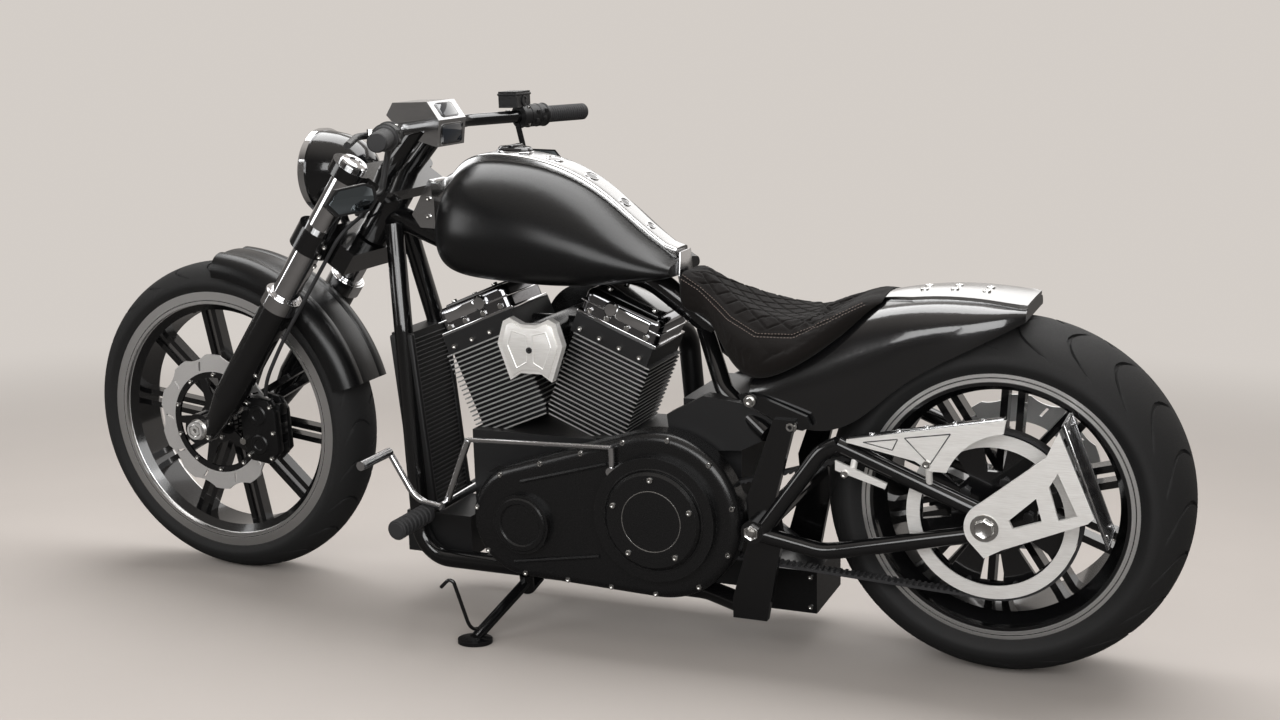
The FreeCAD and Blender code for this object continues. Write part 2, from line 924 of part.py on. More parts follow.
def disc_carrier(label, level, inner_level):
    """The spider that carries a disc: a ring on the hub with ten arms out to the disc."""
    body = new_body(label)
    hub_sketch = circles(
        body, "XZ_Plane",
        (ZERO, ZERO, S.carrier_hub_radius),
        (ZERO, ZERO, S.axle_radius + S.disc_wall),
        level=(level + inner_level) / 2,
    )
    depth = level - inner_level
    if depth.number < 0:
        depth = -depth
    pad(body, hub_sketch, depth + S.disc_wall)
    arm_sketch = outline(body, "XZ_Plane", [
        (S.carrier_hub_radius - S.disc_wall, -S.carrier_arm_width),
        (S.disc_inner_radius - S.disc_wall, -S.carrier_arm_width / 2),
        (S.disc_inner_radius - S.disc_wall, S.carrier_arm_width / 2),
        (S.carrier_hub_radius - S.disc_wall, S.carrier_arm_width),
    ], level=level)
    arm = pad(body, arm_sketch, S.disc_wall)
    around(body, [arm], arm_sketch, 5)
    edge_sketch = circles(
        body, "XZ_Plane",
        (ZERO, ZERO, S.disc_inner_radius),
        (ZERO, ZERO, S.disc_inner_radius - S.carrier_arm_width),
        level=level,
    )
    pad(body, edge_sketch, S.disc_wall)
    return body


front_disc_level = S.front_hub_width / 2 + S.disc_gap + S.disc_wall / 2
rear_disc_level = -(S.rear_hub_width / 2 + S.disc_gap + S.disc_wall / 2)
carrier_reach = S.disc_wall / 2
keep("front_disc", brake_disc("front_disc", front_disc_level), FRONT_WHEEL)
keep("front_disc_carrier", disc_carrier("front_disc_carrier", front_disc_level,
    S.front_hub_width / 2 + carrier_reach),
     FRONT_WHEEL, clear_of=("front_disc",))
keep("rear_disc", joined(
    brake_disc("rear_disc_ring", rear_disc_level),
    disc_carrier("rear_disc_carrier", rear_disc_level, -(S.rear_hub_width / 2 + carrier_reach)),
), REAR_WHEEL)

pulley_inner = S.rear_hub_width / 2
pulley_outer = pulley_inner + S.pulley_width


def pulley():
    """The belt pulley on the hub's left, with a windowed web."""
    body = new_body("rear_pulley")
    bore = S.axle_radius + S.disc_wall
    web_low = pulley_inner
    web_high = pulley_inner + S.pulley_web_wall
    rim_inner = S.pulley_radius - S.pulley_rim_wall
    profile = outline(body, "XY_Plane", [
        (bore, web_low),
        (S.pulley_radius, web_low),
        (S.pulley_radius, pulley_outer),
        (rim_inner, pulley_outer),
        (rim_inner, web_high),
        (bore, web_high),
    ])
    turn(body, profile)
    window_start_share = 0.5
    window_half_share = 0.18
    window_start = S.pulley_radius * window_start_share
    window_end = rim_inner - S.pulley_web_wall
    half_start = window_start * window_half_share
    half_end = window_end * window_half_share
    windows = outline(body, "XZ_Plane", [
        (window_start, -half_start),
        (window_end, -half_end),
        (window_end, half_end),
        (window_start, half_start),
    ], level=web_low)
    cut = pocket(body, windows)
    around(body, [cut], windows, 8)
    keep("rear_pulley", body, REAR_WHEEL)
    face = new_body("pulley_ring")
    ring_sketch = circles(
        face, "XZ_Plane",
        (ZERO, ZERO, S.pulley_radius), (ZERO, ZERO, S.pulley_ring_inner),
        level=pulley_outer + S.pulley_ring_wall / 2,
    )
    pad(face, ring_sketch, S.pulley_ring_wall)
    keep("pulley_ring", face, REAR_WHEEL)


pulley()


# Axles

def axle(label, place, half_length):
    """A hollow axle with a nut at each end."""
    shaft = rod((ZERO, -half_length, ZERO), (ZERO, half_length, ZERO), S.axle_radius)
    nuts = []
    for side in (-1, 1):
        outer = half_length * side
        inner = (half_length - S.axle_nut_height) * side
        nuts.append(rod((ZERO, inner, ZERO), (ZERO, outer, ZERO), S.axle_nut_radius))
    reach = half_length + S.cut_overrun
    bore = rod((ZERO, -reach, ZERO), (ZERO, reach, ZERO), S.axle_bore_radius)
    keep(label, without(joined(shaft, *nuts), bore), place)


front_axle_half = S.fork_spread + S.slider_foot_half + S.axle_nut_height
rear_axle_half = S.swing_spread + S.swing_carrier_wall / 2 + S.axle_nut_height
axle("front_axle", FRONT_WHEEL, front_axle_half)
axle("rear_axle", REAR_WHEEL, rear_axle_half)


# Fork, modelled upright about the steering axis: x ahead of it, z up along it, the neck at zero

def clamp(level, height):
    """One fork clamp: a web with a boss round each tube and a bore for each."""
    boss = S.fork_tube_radius + S.clamp_wall
    parts = [
        block((-S.clamp_web_half, -S.fork_spread, level), S.clamp_web_half + S.fork_offset,
            S.fork_spread * 2, height)
    ]
    for side in (-1, 1):
        base = (S.fork_offset, S.fork_spread * side, level)
        parts.append(rod(base, (base[0], base[1], level + height), boss))
    tools = []
    for side in (-1, 1):
        low = (S.fork_offset, S.fork_spread * side, level - S.cut_overrun)
        high = (S.fork_offset, S.fork_spread * side, level + height + S.cut_overrun)
        tools.append(rod(low, high, S.fork_tube_radius))
    return without(joined(*parts), *tools)


stem = rod((ZERO, ZERO, S.lower_clamp_level), (ZERO, ZERO, S.upper_clamp_level + S.upper_clamp_height),
    S.stem_radius)
keep("fork_clamps", joined(
    clamp(S.lower_clamp_level, S.lower_clamp_height),
    clamp(S.upper_clamp_level, S.upper_clamp_height),
    stem,
), FORK)


def fork_tube(side):
    """The bright upper tube with the seal collar on top of the slider."""
    y = S.fork_spread * side
    low = (S.fork_offset, y, S.slider_top)
    return joined(
        rod(low, (S.fork_offset, y, S.fork_tube_top), S.fork_tube_radius),
        rod(low, (S.fork_offset, y, S.slider_top + S.collar_height), S.collar_radius),
    )


def fork_slider(side):
    """The dark lower leg with the lug that holds the axle ahead of it."""
    y = S.fork_spread * side
    end = -axle_drop
    taper = end + S.slider_foot * 3
    leg = joined(
        rod((S.fork_offset, y, taper), (S.fork_offset, y, S.slider_top), S.slider_radius),
        cone((S.fork_offset, y, end), (S.fork_offset, y, taper), S.slider_foot_half, S.slider_radius),
    )
    inner = (axle_forward, y - S.slider_foot_half, end)
    outer = (axle_forward, y + S.slider_foot_half, end)
    foot = rod(inner, outer, S.slider_foot)
    reach = S.slider_foot_half + S.cut_overrun
    bore = rod((axle_forward, y - reach, end), (axle_forward, y + reach, end), S.axle_radius)
    return without(joined(leg, foot), bore)


keep("fork_tubes", both_sides(fork_tube), FORK)
keep("fork_sliders", both_sides(fork_slider), FORK, clear_of=("front_axle",))


# Front fender

def front_fender():
    """An arched strip round the front tyre with rounded ends."""
    inner = S.front_radius + S.front_fender_gap
    outer = inner + S.front_fender_wall
    half = S.front_fender_half_width
    side_inner = inner - S.front_fender_side
    crown_share = 0.62
    body = new_body("front_fender")
    profile = outline(body, "XY_Plane", [
        (side_inner, -half),
        (side_inner, -half + S.front_fender_wall),
        Via(inner - S.front_fender_side * (1 - crown_share) / 2, -half * crown_share - half * 0.2),
        (inner - S.front_fender_wall * 0.6, -half * 0.4),
        Via(inner, ZERO),
        (inner - S.front_fender_wall * 0.6, half * 0.4),
        Via(inner - S.front_fender_side * (1 - crown_share) / 2, half * crown_share + half * 0.2),
        (side_inner, half - S.front_fender_wall),
        (side_inner, half),
        Via(outer - S.front_fender_side * (1 - crown_share) / 2, half * crown_share + half * 0.24),
        (outer - S.front_fender_wall * 0.6, half * 0.4),
        Via(outer, ZERO),
        (outer - S.front_fender_wall * 0.6, -half * 0.4),
        Via(outer - S.front_fender_side * (1 - crown_share) / 2, -half * crown_share - half * 0.24),
    ])
    turn(body, profile, angle=float(sheet.get("front_fender_sweep")), backwards=True)
    start = FreeCAD.Placement(
        spot(wheelbase, ZERO, S.front_radius),
        FreeCAD.Rotation(Y_AXIS, -float(sheet.get("front_fender_start"))),
    )
    keep("front_fender", body, start)


front_fender()


def fender_brace(side):
    """A bright plate with two holes between the fender's side and the slider."""
    level = S.front_fender_half_width * side
    half = S.brace_height / 2
    middle = S.slider_top - half
    reach = S.brace_width / 2
    body = new_body("brace")
    sketch = outline(body, "XZ_Plane", [
        (S.fork_offset - reach, middle - half + reach),
        Via(S.fork_offset, middle - half),
        (S.fork_offset + reach, middle - half + reach),
        (S.fork_offset + reach, middle + half - reach),
        Via(S.fork_offset, middle + half),
        (S.fork_offset - reach, middle + half - reach),
    ], level=level)
    wall = S.fork_spread - S.slider_radius - S.front_fender_half_width
    pad(body, sketch, wall, towards="against" if side > 0 else "normal")
    pocket(body, circles(
        body, "XZ_Plane",
        (S.fork_offset, middle - half + reach, S.brace_hole_radius),
        (S.fork_offset, middle + half - reach, S.brace_hole_radius), level=level,
    ))
    return body


keep("fender_brace", both_sides(fender_brace), FORK, clear_of=("front_fender",))

# Headlight

HEADLIGHT = FreeCAD.Placement(spot(S.headlight_x, ZERO, S.headlight_z), FreeCAD.Rotation())


def headlight():
    """A domed bucket with a bright ring and a bulged lens."""
    radius = S.headlight_radius - S.headlight_wall
    bowl = new_body("bowl")
    profile = outline(bowl, "XY_Plane", [
        (-S.headlight_length, ZERO),
        (-S.headlight_length, radius * 0.3),
        Via(-S.headlight_length * 0.7, radius * 0.82),
        (-S.headlight_ring_depth, radius),
        (-S.headlight_ring_depth, ZERO),
    ])
    turn(bowl, profile, axis="H_Axis")
    bowl.Placement = HEADLIGHT
    foot = on_fork(S.fork_offset * 0.75, ZERO, S.lower_clamp_level + S.lower_clamp_height / 2)
    stalk = rod(foot, (S.headlight_x - S.headlight_length / 3, ZERO, S.headlight_z - radius * 0.8),
        S.headlight_ring_depth / 2)
    keep("headlight_shell", joined(bowl, stalk), clear_of=("fork_clamps",))
    rim_body = new_body("headlight_ring")
    inner = radius - S.headlight_wall * 2
    ring_profile = outline(rim_body, "XY_Plane", [
        (-S.headlight_ring_depth, inner),
        (-S.headlight_ring_depth, S.headlight_radius),
        (-S.headlight_ring_depth * 0.3, S.headlight_radius),
        (ZERO, radius),
        (ZERO, inner),
    ])
    turn(rim_body, ring_profile, axis="H_Axis")
    keep("headlight_ring", rim_body, HEADLIGHT)
    lens = new_body("headlight_lens")
    lens_profile = outline(lens, "XY_Plane", [
        (-S.headlight_ring_depth, ZERO),
        (-S.headlight_ring_depth, inner),
        (-S.headlight_wall, inner),
        Via(S.headlight_wall * 0.5, inner * 0.6),
        (S.headlight_wall, ZERO),
    ])
    turn(lens, lens_profile, axis="H_Axis")
    keep("headlight_lens", lens, HEADLIGHT)


headlight()

# Handlebar with its risers, grips, switches, levers and mirrors


def bar_point(side, share):
    """A point on the bar's swept-back side, from its bend to its end."""
    reach = S.bar_half_width - S.bar_straight_half
    return (
        S.bar_x - S.bar_pullback * share,
        (S.bar_straight_half + reach * share) * side,
        S.bar_z,
    )


def handlebar():
    """One bent tube on two risers."""
    points = [bar_point(-1, 1), bar_point(-1, 0), bar_point(1, 0), bar_point(1, 1)]
    bar = shaped(tube(points, S.bar_radius, S.bar_bend))
    risers = []
    for side in (-1, 1):
        foot_x = S.neck_x + S.fork_offset * 0.3 - (S.upper_clamp_level + S.upper_clamp_height) * math.sin(RAKE)
        foot_z = S.neck_z + S.fork_offset * 0.2 + (S.upper_clamp_level + S.upper_clamp_height) * math.cos(RAKE)
        foot = (foot_x, S.riser_spread * side, foot_z)
        risers.append(rod(foot, (S.bar_x, S.riser_spread * side, S.bar_z), S.riser_radius))
    keep("handlebar", joined(bar, *risers), clear_of=("fork_clamps",))


handlebar()
bar_side = S.bar_half_width - S.bar_straight_half
bar_run = math.hypot(bar_side.number, S.bar_pullback.number)


def bar_share(distance):
    """The share of the swept-back side at a distance from its end."""
    return 1 - distance.number / bar_run


def grip(side):
    """A rubber grip over the bar's end."""
    return rod(bar_point(side, bar_share(S.grip_length)), bar_point(side, 1 + 0.006), S.grip_radius)


def switch_housing(side):
    """The switch housing inboard of the grip."""
    end = S.grip_length + S.switch_length
    return rod(bar_point(side, bar_share(end)), bar_point(side, bar_share(S.grip_length)), S.switch_radius)


def bored(item):
    """A piece on the bar, bored for it."""
    bar = shaped(tube([bar_point(-1, 1.1), bar_point(-1, 0), bar_point(1, 0), bar_point(1, 1.1)],
        S.bar_radius, S.bar_bend))
    return without(item, bar)


keep("grips", both_sides(lambda side: bored(grip(side))))


def lever(side):
    """A switch housing with a hand lever on its perch, ahead of the grip."""
    perch_start = bar_point(side, bar_share(S.grip_length + S.switch_length))
    perch_end = bar_point(side, bar_share(S.grip_length + S.switch_length + S.switch_radius))
    perch = rod(perch_end, perch_start, S.switch_radius)
    pivot = (perch_end[0] + S.lever_reach * 0.6, perch_end[1], perch_end[2])
    arm = rod(perch_end, pivot, S.lever_radius * 1.6)
    bend = bar_point(side, bar_share(S.grip_length + S.switch_length * 0.6))
    bend = (bend[0] + S.lever_reach, bend[1], bend[2])
    tip = bar_point(side, bar_share(S.grip_length * 0.1))
    tip = (tip[0] + S.lever_reach, tip[1], tip[2] - S.lever_radius)
    blade = shaped(tube([pivot, bend, tip], S.lever_radius))
    return joined(switch_housing(side), perch, arm, blade)


def reservoir():
    """The brake reservoir that stands on the right perch."""
    x, y, z = bar_point(-1, bar_share(S.grip_length + S.switch_length + S.switch_radius * 0.6))
    corner = (x - S.reservoir_width * 0.2, y - S.reservoir_length * 0.4, z + S.switch_radius * 0.8)
    return block(corner, S.reservoir_width, S.reservoir_length, S.reservoir_height)


keep("bar_controls", together(bored(joined(lever(-1), reservoir())), bored(lever(1))), clear_of=("grips",))


mirror_shares = [
    # out along the glass and up, for the left one
    (0.5, -0.1), (0.28, 0.38), (-0.3, 0.5), (-0.46, 0.36), (-0.5, -0.1), (-0.36, -0.42), (0.3, -0.5),
]


def mirror(side):
    """A six-sided mirror that hangs out and down from the bar on a bent stem."""
    root = bar_point(side, bar_share(S.grip_length + S.switch_length * 1.6))
    top = (root[0], root[1], root[2] - S.bar_radius)
    low = (root[0], root[1] + S.mirror_reach * side * 0.3, root[2] - S.mirror_drop)
    middle = (root[0] + S.mirror_wall, root[1] + S.mirror_reach * side, root[2] - S.mirror_drop)
    stem_bar = shaped(tube([top, low, middle], S.mirror_stem_radius, S.mirror_stem_radius * 4))
    heading = radians("mirror_turn")
    outwards = FreeCAD.Vector(math.sin(heading), math.cos(heading), 0)
    facing = FreeCAD.Vector(-math.cos(heading), math.sin(heading), 0)
    corners = [
        spot(*middle) + outwards * (S.mirror_width * across * side).number + Z_AXIS * (S.mirror_height * up).number
        for across, up in mirror_shares
    ]
    glass = Part.Face(Part.makePolygon(corners + corners[:1])).extrude(facing * S.mirror_wall.number)
    return joined(stem_bar, shaped(glass))


keep("mirrors", both_sides(mirror), clear_of=("handlebar", "bar_controls"))


def dash():
    """The polished instrument housing clamped over the bar."""
    body = new_body("dash")
    side_shares = [(-0.36, -0.62), (0.28, -0.3), (0.64, 0.36), (0.5, 0.74), (-0.2, 0.76), (-0.42, 0.2)]
    profile = outline(
        body, "XZ_Plane", shares_to_points(side_shares, S.bar_x, S.dash_length, S.bar_z, S.dash_height)
    )
    pad(body, profile, S.dash_width)
    keep("dash", body, clear_of=("handlebar",))


dash()


def front_caliper():
    """A caliper that straddles the front disc, bolted behind the slider."""
    level = front_disc_level
    inner = level - S.caliper_slot / 2 - S.caliper_wall * 0.6
    width = S.caliper_slot + S.caliper_wall * 1.6
    outer_x = S.disc_radius + S.disc_wall * 3
    body = block(
        (-outer_x, inner, -S.caliper_height / 2), S.caliper_reach, width, S.caliper_height
    )
    slot = block(
        (-outer_x + S.caliper_wall * 0.4, level - S.caliper_slot / 2,
            -S.caliper_height / 2 - S.cut_overrun),
        S.caliper_reach, S.caliper_slot, S.caliper_height + S.cut_overrun * 2,
    )
    keep("front_caliper", without(body, slot), FRONT_WHEEL, clear_of=("fork_sliders",))


front_caliper()


def brake_hose():
    """The hose from the front caliper up the left leg, behind the headlight and up to the right control."""
    leg_y = S.fork_spread + S.hose_radius * 2
    leg_x = S.fork_offset - S.collar_radius - S.hose_radius * 2.5
    axle_level = -axle_drop
    inward = S.fork_spread - S.fork_tube_radius * 2
    ahead = S.neck_outer_radius * 1.5
    over = S.fork_offset + S.hose_radius * 3
    control = bar_point(-1, bar_share(S.grip_length + S.switch_length + S.switch_radius))
    points = [
        on_fork(-S.hose_radius, front_disc_level + S.disc_gap * 3, axle_level + S.caliper_height * 0.86),
        on_fork(leg_x - S.hose_radius * 2, leg_y - S.hose_radius, axle_level + S.caliper_height * 1.3),
        on_fork(leg_x, leg_y, axle_level + S.caliper_height * 2),
        on_fork(leg_x, leg_y, S.lower_clamp_level + S.lower_clamp_height + S.hose_radius * 6),
        on_fork(leg_x + S.hose_radius, inward, ZERO),
        on_fork(ahead, inward / 2, -S.slider_radius),
        on_fork(ahead, -inward / 2, -S.slider_radius),
        on_fork(over, -inward, S.slider_radius),
        on_fork(over, -inward, S.upper_clamp_level + S.upper_clamp_height),
        (S.bar_x + S.riser_spread, -S.bar_straight_half, S.bar_z - S.riser_radius),
        (control[0] + S.switch_radius * 1.6, control[1] + S.switch_radius, control[2]),
        (control[0] + S.switch_radius * 0.8, control[1] - S.switch_radius * 0.3, control[2]),
    ]
    return tube(points, S.hose_radius)


keep("brake_hose", shaped(brake_hose()), clear_of=("front_caliper", "bar_controls"))

# Frame

neck_top = (
    S.neck_x - S.neck_half_height * math.sin(RAKE), ZERO, S.neck_z + S.neck_half_height * math.cos(RAKE)
)
neck_low = (
    S.neck_x + S.neck_half_height * math.sin(RAKE), ZERO, S.neck_z - S.neck_half_height * math.cos(RAKE)
)


def neck_bore():
    """The stem's bore through the neck, longer than the neck."""
    reach = S.neck_half_height + S.cut_overrun
    top = (S.neck_x - reach * math.sin(RAKE), ZERO, S.neck_z + reach * math.cos(RAKE))
    low = (S.neck_x + reach * math.sin(RAKE), ZERO, S.neck_z - reach * math.cos(RAKE))
    return rod(low, top, S.stem_radius + S.running_gap)


backbone_start = (S.neck_x - S.neck_outer_radius / 2, ZERO, S.neck_z)
backbone_knee = (S.backbone_knee_x, ZERO, S.backbone_knee_z)
backbone_crest = (S.backbone_crest_x, ZERO, S.backbone_crest_z)
backbone_end = (S.backbone_rear_x, ZERO, S.backbone_rear_z)
backbone_tube = tube([backbone_start, backbone_knee, backbone_crest, backbone_end], S.backbone_radius,
    S.pipe_bend * 2)
keep("backbone", without(
    joined(
        rod(neck_low, neck_top, S.neck_outer_radius),
        shaped(backbone_tube),
    ),
    neck_bore(),
))


def downtube(side):
    """One front downtube, bent under the engine into the lower rail."""
    low_y = S.downtube_low_spread * side
    points = [
        (S.neck_x - S.neck_outer_radius, S.backbone_radius * side, S.neck_z - S.downtube_radius),
        (S.neck_x - S.neck_outer_radius * 2, S.downtube_low_spread * side * 0.7, S.neck_z * 0.72),
        (S.downtube_low_x, low_y, S.rail_z),
        (S.rail_rear_x + S.downtube_radius * 5, low_y, S.rail_z),
        (S.rail_rear_x, (S.pivot_plate_inner - S.downtube_radius / 3) * side, S.rail_z),
    ]
    return shaped(tube(points, S.downtube_radius, S.pipe_bend))



def pivot_plate(side):
    """The plate behind the gearbox that holds the swingarm's pivot."""
    y = S.pivot_plate_inner * side
    inner = y if side > 0 else y - S.pivot_plate_wall
    plate_shares = [
        (0.10, 0.0), (0.52, 0.0), (0.52, 0.10), (0.30, 0.42), (0.34, 0.60), (0.0, 1.0),
        (-0.26, 1.0), (-0.02, 0.62), (-0.10, 0.42), (-0.02, 0.26),
    ]
    width = S.swing_pivot_x - S.swing_lower_x
    height = S.swing_upper_z - S.rail_z + S.seat_tube_radius * 3
    corners = shares_to_points(plate_shares, S.swing_pivot_x - width * 0.2, width,
        S.rail_z - S.downtube_radius, height)
    wire = Part.makePolygon([FreeCAD.Vector(x.number, inner.number, z.number) for x,
        z in corners + corners[:1]])
    return shaped(Part.Face(wire).extrude(Y_AXIS * S.pivot_plate_wall.number))


def seat_tube(side):
    """A rear rail from the backbone down to the pivot plate."""
    points = [
        (S.backbone_rear_x + S.backbone_radius, ZERO, S.backbone_rear_z),
        (S.backbone_rear_x - S.backbone_radius * 2, S.seat_tube_spread * side,
            S.backbone_rear_z - S.backbone_radius * 4),
        (S.swing_pivot_x - S.seat_tube_radius, S.pivot_plate_inner * side, S.swing_upper_z),
    ]
    return tube(points, S.seat_tube_radius, S.pipe_bend)


# Swingarm

def swing_side(side):
    """One side of the swingarm: two tubes and the axle carrier."""
    y = S.swing_spread * side
    carrier_y = (S.swing_spread - S.swing_carrier_wall / 2) * side
    carrier_end = (S.swing_spread + S.swing_carrier_wall / 2) * side
    drop = S.swing_tube_radius
    carrier = rod((ZERO, carrier_y, S.rear_radius), (ZERO, carrier_end, S.rear_radius),
        S.swing_carrier_radius)
    top_end = (ZERO, y, S.rear_radius + S.swing_carrier_radius / 3)
    low_end = (ZERO, y, S.rear_radius - S.swing_carrier_radius / 2)
    upper = rod((S.swing_upper_x, y, S.swing_upper_z), top_end, drop)
    lower = rod((S.swing_lower_x, y, S.swing_lower_z), low_end, drop)
    reach = S.swing_carrier_wall / 2 + S.cut_overrun
    bore = rod((ZERO, y - reach, S.rear_radius), (ZERO, y + reach, S.rear_radius), S.axle_radius)
    front = shaped(tube([
        (S.swing_upper_x, y, S.swing_upper_z),
        (S.swing_upper_x + drop * 2, y, S.swing_upper_z - drop),
        (S.swing_pivot_x - drop, y, S.swing_pivot_z),
    ], drop))
    bottom = shaped(tube([
        (S.swing_lower_x, y, S.swing_lower_z),
        (S.swing_lower_x + drop * 2, y, S.swing_lower_z - drop / 3),
        (S.swing_pivot_x - drop, y, S.swing_pivot_z - drop / 2),
    ], drop))
    return without(joined(carrier, upper, lower, front, bottom), bore)


pivot_end = S.swing_spread + S.swing_tube_radius
keep("swingarm", joined(
    both_sides(swing_side),
    rod((S.swing_pivot_x, -pivot_end, S.swing_pivot_z), (S.swing_pivot_x, pivot_end, S.swing_pivot_z),
        S.swing_tube_radius * 1.4),
), clear_of=("rear_axle",))
keep("rear_frame", joined(both_sides(pivot_plate), shaped(seat_tube(1).fuse(seat_tube(-1)))),
     clear_of=("backbone", "swingarm"))

# Side stand's bracket and the cradle that carries it

stand_pivot = (S.stand_pivot_x, S.stand_pivot_y, S.stand_pivot_z)
foot_z = S.stand_foot_y * math.tan(LEAN_ANGLE) - ZERO.plus(crown_radius * (1 / math.cos(LEAN_ANGLE) - 1))
stand_foot = (S.stand_foot_x, S.stand_foot_y, foot_z)
leg_way = (spot(*stand_foot) - spot(*stand_pivot)).normalize()
folded_way = FreeCAD.Vector(-1, 0.05, -0.15).normalize()
fold_axis = leg_way.cross(folded_way).normalize()
STAND = FreeCAD.Placement(
    spot(*stand_pivot), FreeCAD.Rotation(leg_way, fold_axis.cross(leg_way), fold_axis, "XZY")
)


def stand_bracket():
    """Two ears on the left rail with the stand's pin between them, in the stand's own frame."""
    gap = S.stand_boss_height / 2 + S.stand_gap
    ears = []
    for low in (gap, -gap - S.stand_ear_wall):
        ears.append(block(
            (-S.stand_ear_length, -S.stand_boss_radius, low), S.stand_ear_length, S.stand_boss_radius * 2,
                S.stand_ear_wall
        ))
        ears.append(rod((ZERO, ZERO, low), (ZERO, ZERO, low + S.stand_ear_wall), S.stand_boss_radius))
    end = gap + S.stand_ear_wall
    pin = rod((ZERO, ZERO, -end), (ZERO, ZERO, end), S.stand_pin_radius)
    bracket = joined(*ears, pin)
    bracket.Placement = STAND
    return bracket


keep("cradle_tubes", joined(both_sides(downtube), stand_bracket()), clear_of=("backbone", "rear_frame"))

# Belt

def belt_outline(grow):
    """The belt's loop round pulley and sprocket, grown outwards."""
    big = S.pulley_radius + S.belt_clearance + grow
    small = S.sprocket_radius + grow
    distance = math.hypot(S.sprocket_x.number, (S.sprocket_z - S.rear_radius).number)
    slope = math.atan2((S.sprocket_z - S.rear_radius).number, S.sprocket_x.number)
    spread = math.acos((big.number - small.number) / distance)
    def on(centre_x, centre_z, radius, angle):
        return (centre_x + radius * math.cos(angle), centre_z + radius * math.sin(angle))
    top = slope + spread
    low = slope - spread
    return [
        on(ZERO, S.rear_radius, big, low),
        on(S.sprocket_x, S.sprocket_z, small, low),
        Via(*on(S.sprocket_x, S.sprocket_z, small, slope)),
        on(S.sprocket_x, S.sprocket_z, small, top),
        on(ZERO, S.rear_radius, big, top),
        Via(*on(ZERO, S.rear_radius, big, slope + math.pi)),
    ]


belt = new_body("drive_belt")
belt_sketch = outline(
    belt, "XZ_Plane", belt_outline(S.belt_thickness), belt_outline(ZERO),
    level=pulley_inner + S.pulley_width / 2,
)
pad(belt, belt_sketch, S.belt_width)
keep("drive_belt", belt)

# Engine

def cylinder_place(sign):
    """A cylinder's own frame: z up its bore from the crank's centre, x ahead."""
    return FreeCAD.Placement(
        spot(S.crank_x, ZERO, S.crank_z), FreeCAD.Rotation(Y_AXIS,
            sign * float(sheet.get("cylinder_angle")))
    )


fin_count = 20
fin_stack = S.fin_pitch * (fin_count - 1)


def cylinder(sign):
    """A finned barrel; sign is 1 for the front one and -1 for the rear one."""
    body = new_body("cylinder")
    base = S.cylinder_base
    barrel = circles(body, "XY_Plane", (ZERO, ZERO, S.cylinder_bore_radius), level=base)
    pad(body, barrel, fin_stack + S.fin_wall, towards="normal")
    outer = S.fin_outer_reach * sign
    inner = -S.fin_inner_reach * sign
    fin_sketch = outline(body, "XY_Plane", [
        (inner, -S.fin_half_depth), (outer, -S.fin_half_depth), (outer, S.fin_half_depth),
            (inner, S.fin_half_depth),
    ], level=base)
    fin = pad(body, fin_sketch, S.fin_wall, towards="normal")
    along(body, [fin], fin_sketch, "N_Axis", fin_stack, fin_count)
    tilt = math.radians(float(sheet.get("cylinder_angle")))
    low = base - S.fin_pitch
    high = (base + fin_stack + S.fin_pitch) / math.cos(tilt)
    gap = S.fin_wall * sign
    far = -(S.fin_inner_reach + S.cut_overrun * 4) * sign
    valley = outline(body, "XZ_Plane", [
        (gap - low * math.tan(tilt) * sign, low),
        (gap - high * math.tan(tilt) * sign, high),
        (far, high),
        (far, low),
    ])
    pocket(body, valley)
    body.Placement = cylinder_place(sign)
    return body


keep("cylinders", both_sides(cylinder))
head_base = S.cylinder_base + fin_stack + S.fin_wall


case_top_share = 0.86
case_front_x = S.crank_x + S.crank_case_radius * 1.1
case_top = S.crank_z + S.cylinder_base * case_top_share
case_bottom = S.rail_z + S.downtube_radius + S.seat_gap
belt_level = pulley_inner + S.pulley_width / 2
inner_primary_x = S.sprocket_x + S.sprocket_radius + S.belt_thickness + S.cut_overrun
engine = joined(
    block((S.gearbox_x, -S.case_half_width, case_bottom), case_front_x - S.gearbox_x, S.case_half_width * 2,
          S.crank_z - case_bottom),
    block((S.gearbox_x, -S.case_half_width, S.crank_z), S.crank_x - S.crank_case_radius - S.gearbox_x,
          S.case_half_width * 2, S.gearbox_top - S.crank_z),
    block((S.crank_x - S.crank_case_radius, -S.case_half_width, S.crank_z), S.crank_case_radius * 2.4,
          S.case_half_width * 2, case_top - S.crank_z),
    block((inner_primary_x, S.case_half_width, S.crank_z - S.crank_case_radius * 0.7),
          case_front_x - inner_primary_x - S.crank_case_radius * 0.2, S.primary_inner - S.case_half_width,
          S.crank_case_radius * 1.4),
    rod((S.sprocket_x + S.sprocket_radius * 0.2, S.case_half_width / 2, S.sprocket_z),
        (S.sprocket_x + S.sprocket_radius * 0.2, S.case_half_width + S.belt_clearance, S.sprocket_z),
            S.sprocket_radius * 0.6),
    rod((S.sprocket_x, S.case_half_width, S.sprocket_z),
        (S.sprocket_x, belt_level + S.belt_width / 2, S.sprocket_z), S.sprocket_radius),
)
keep("engine_case", engine, clear_of=("cylinders",))


def head(sign):
    """A cylinder head block on top of the fins."""
    reach = S.rocker_reach
    item = together(block((-reach, -S.fin_half_depth, head_base), reach * 2, S.fin_half_depth * 2,
        S.head_height))
    item.Placement = cylinder_place(sign)
    return item


keep("cylinder_heads", joined(head(1), head(-1)))


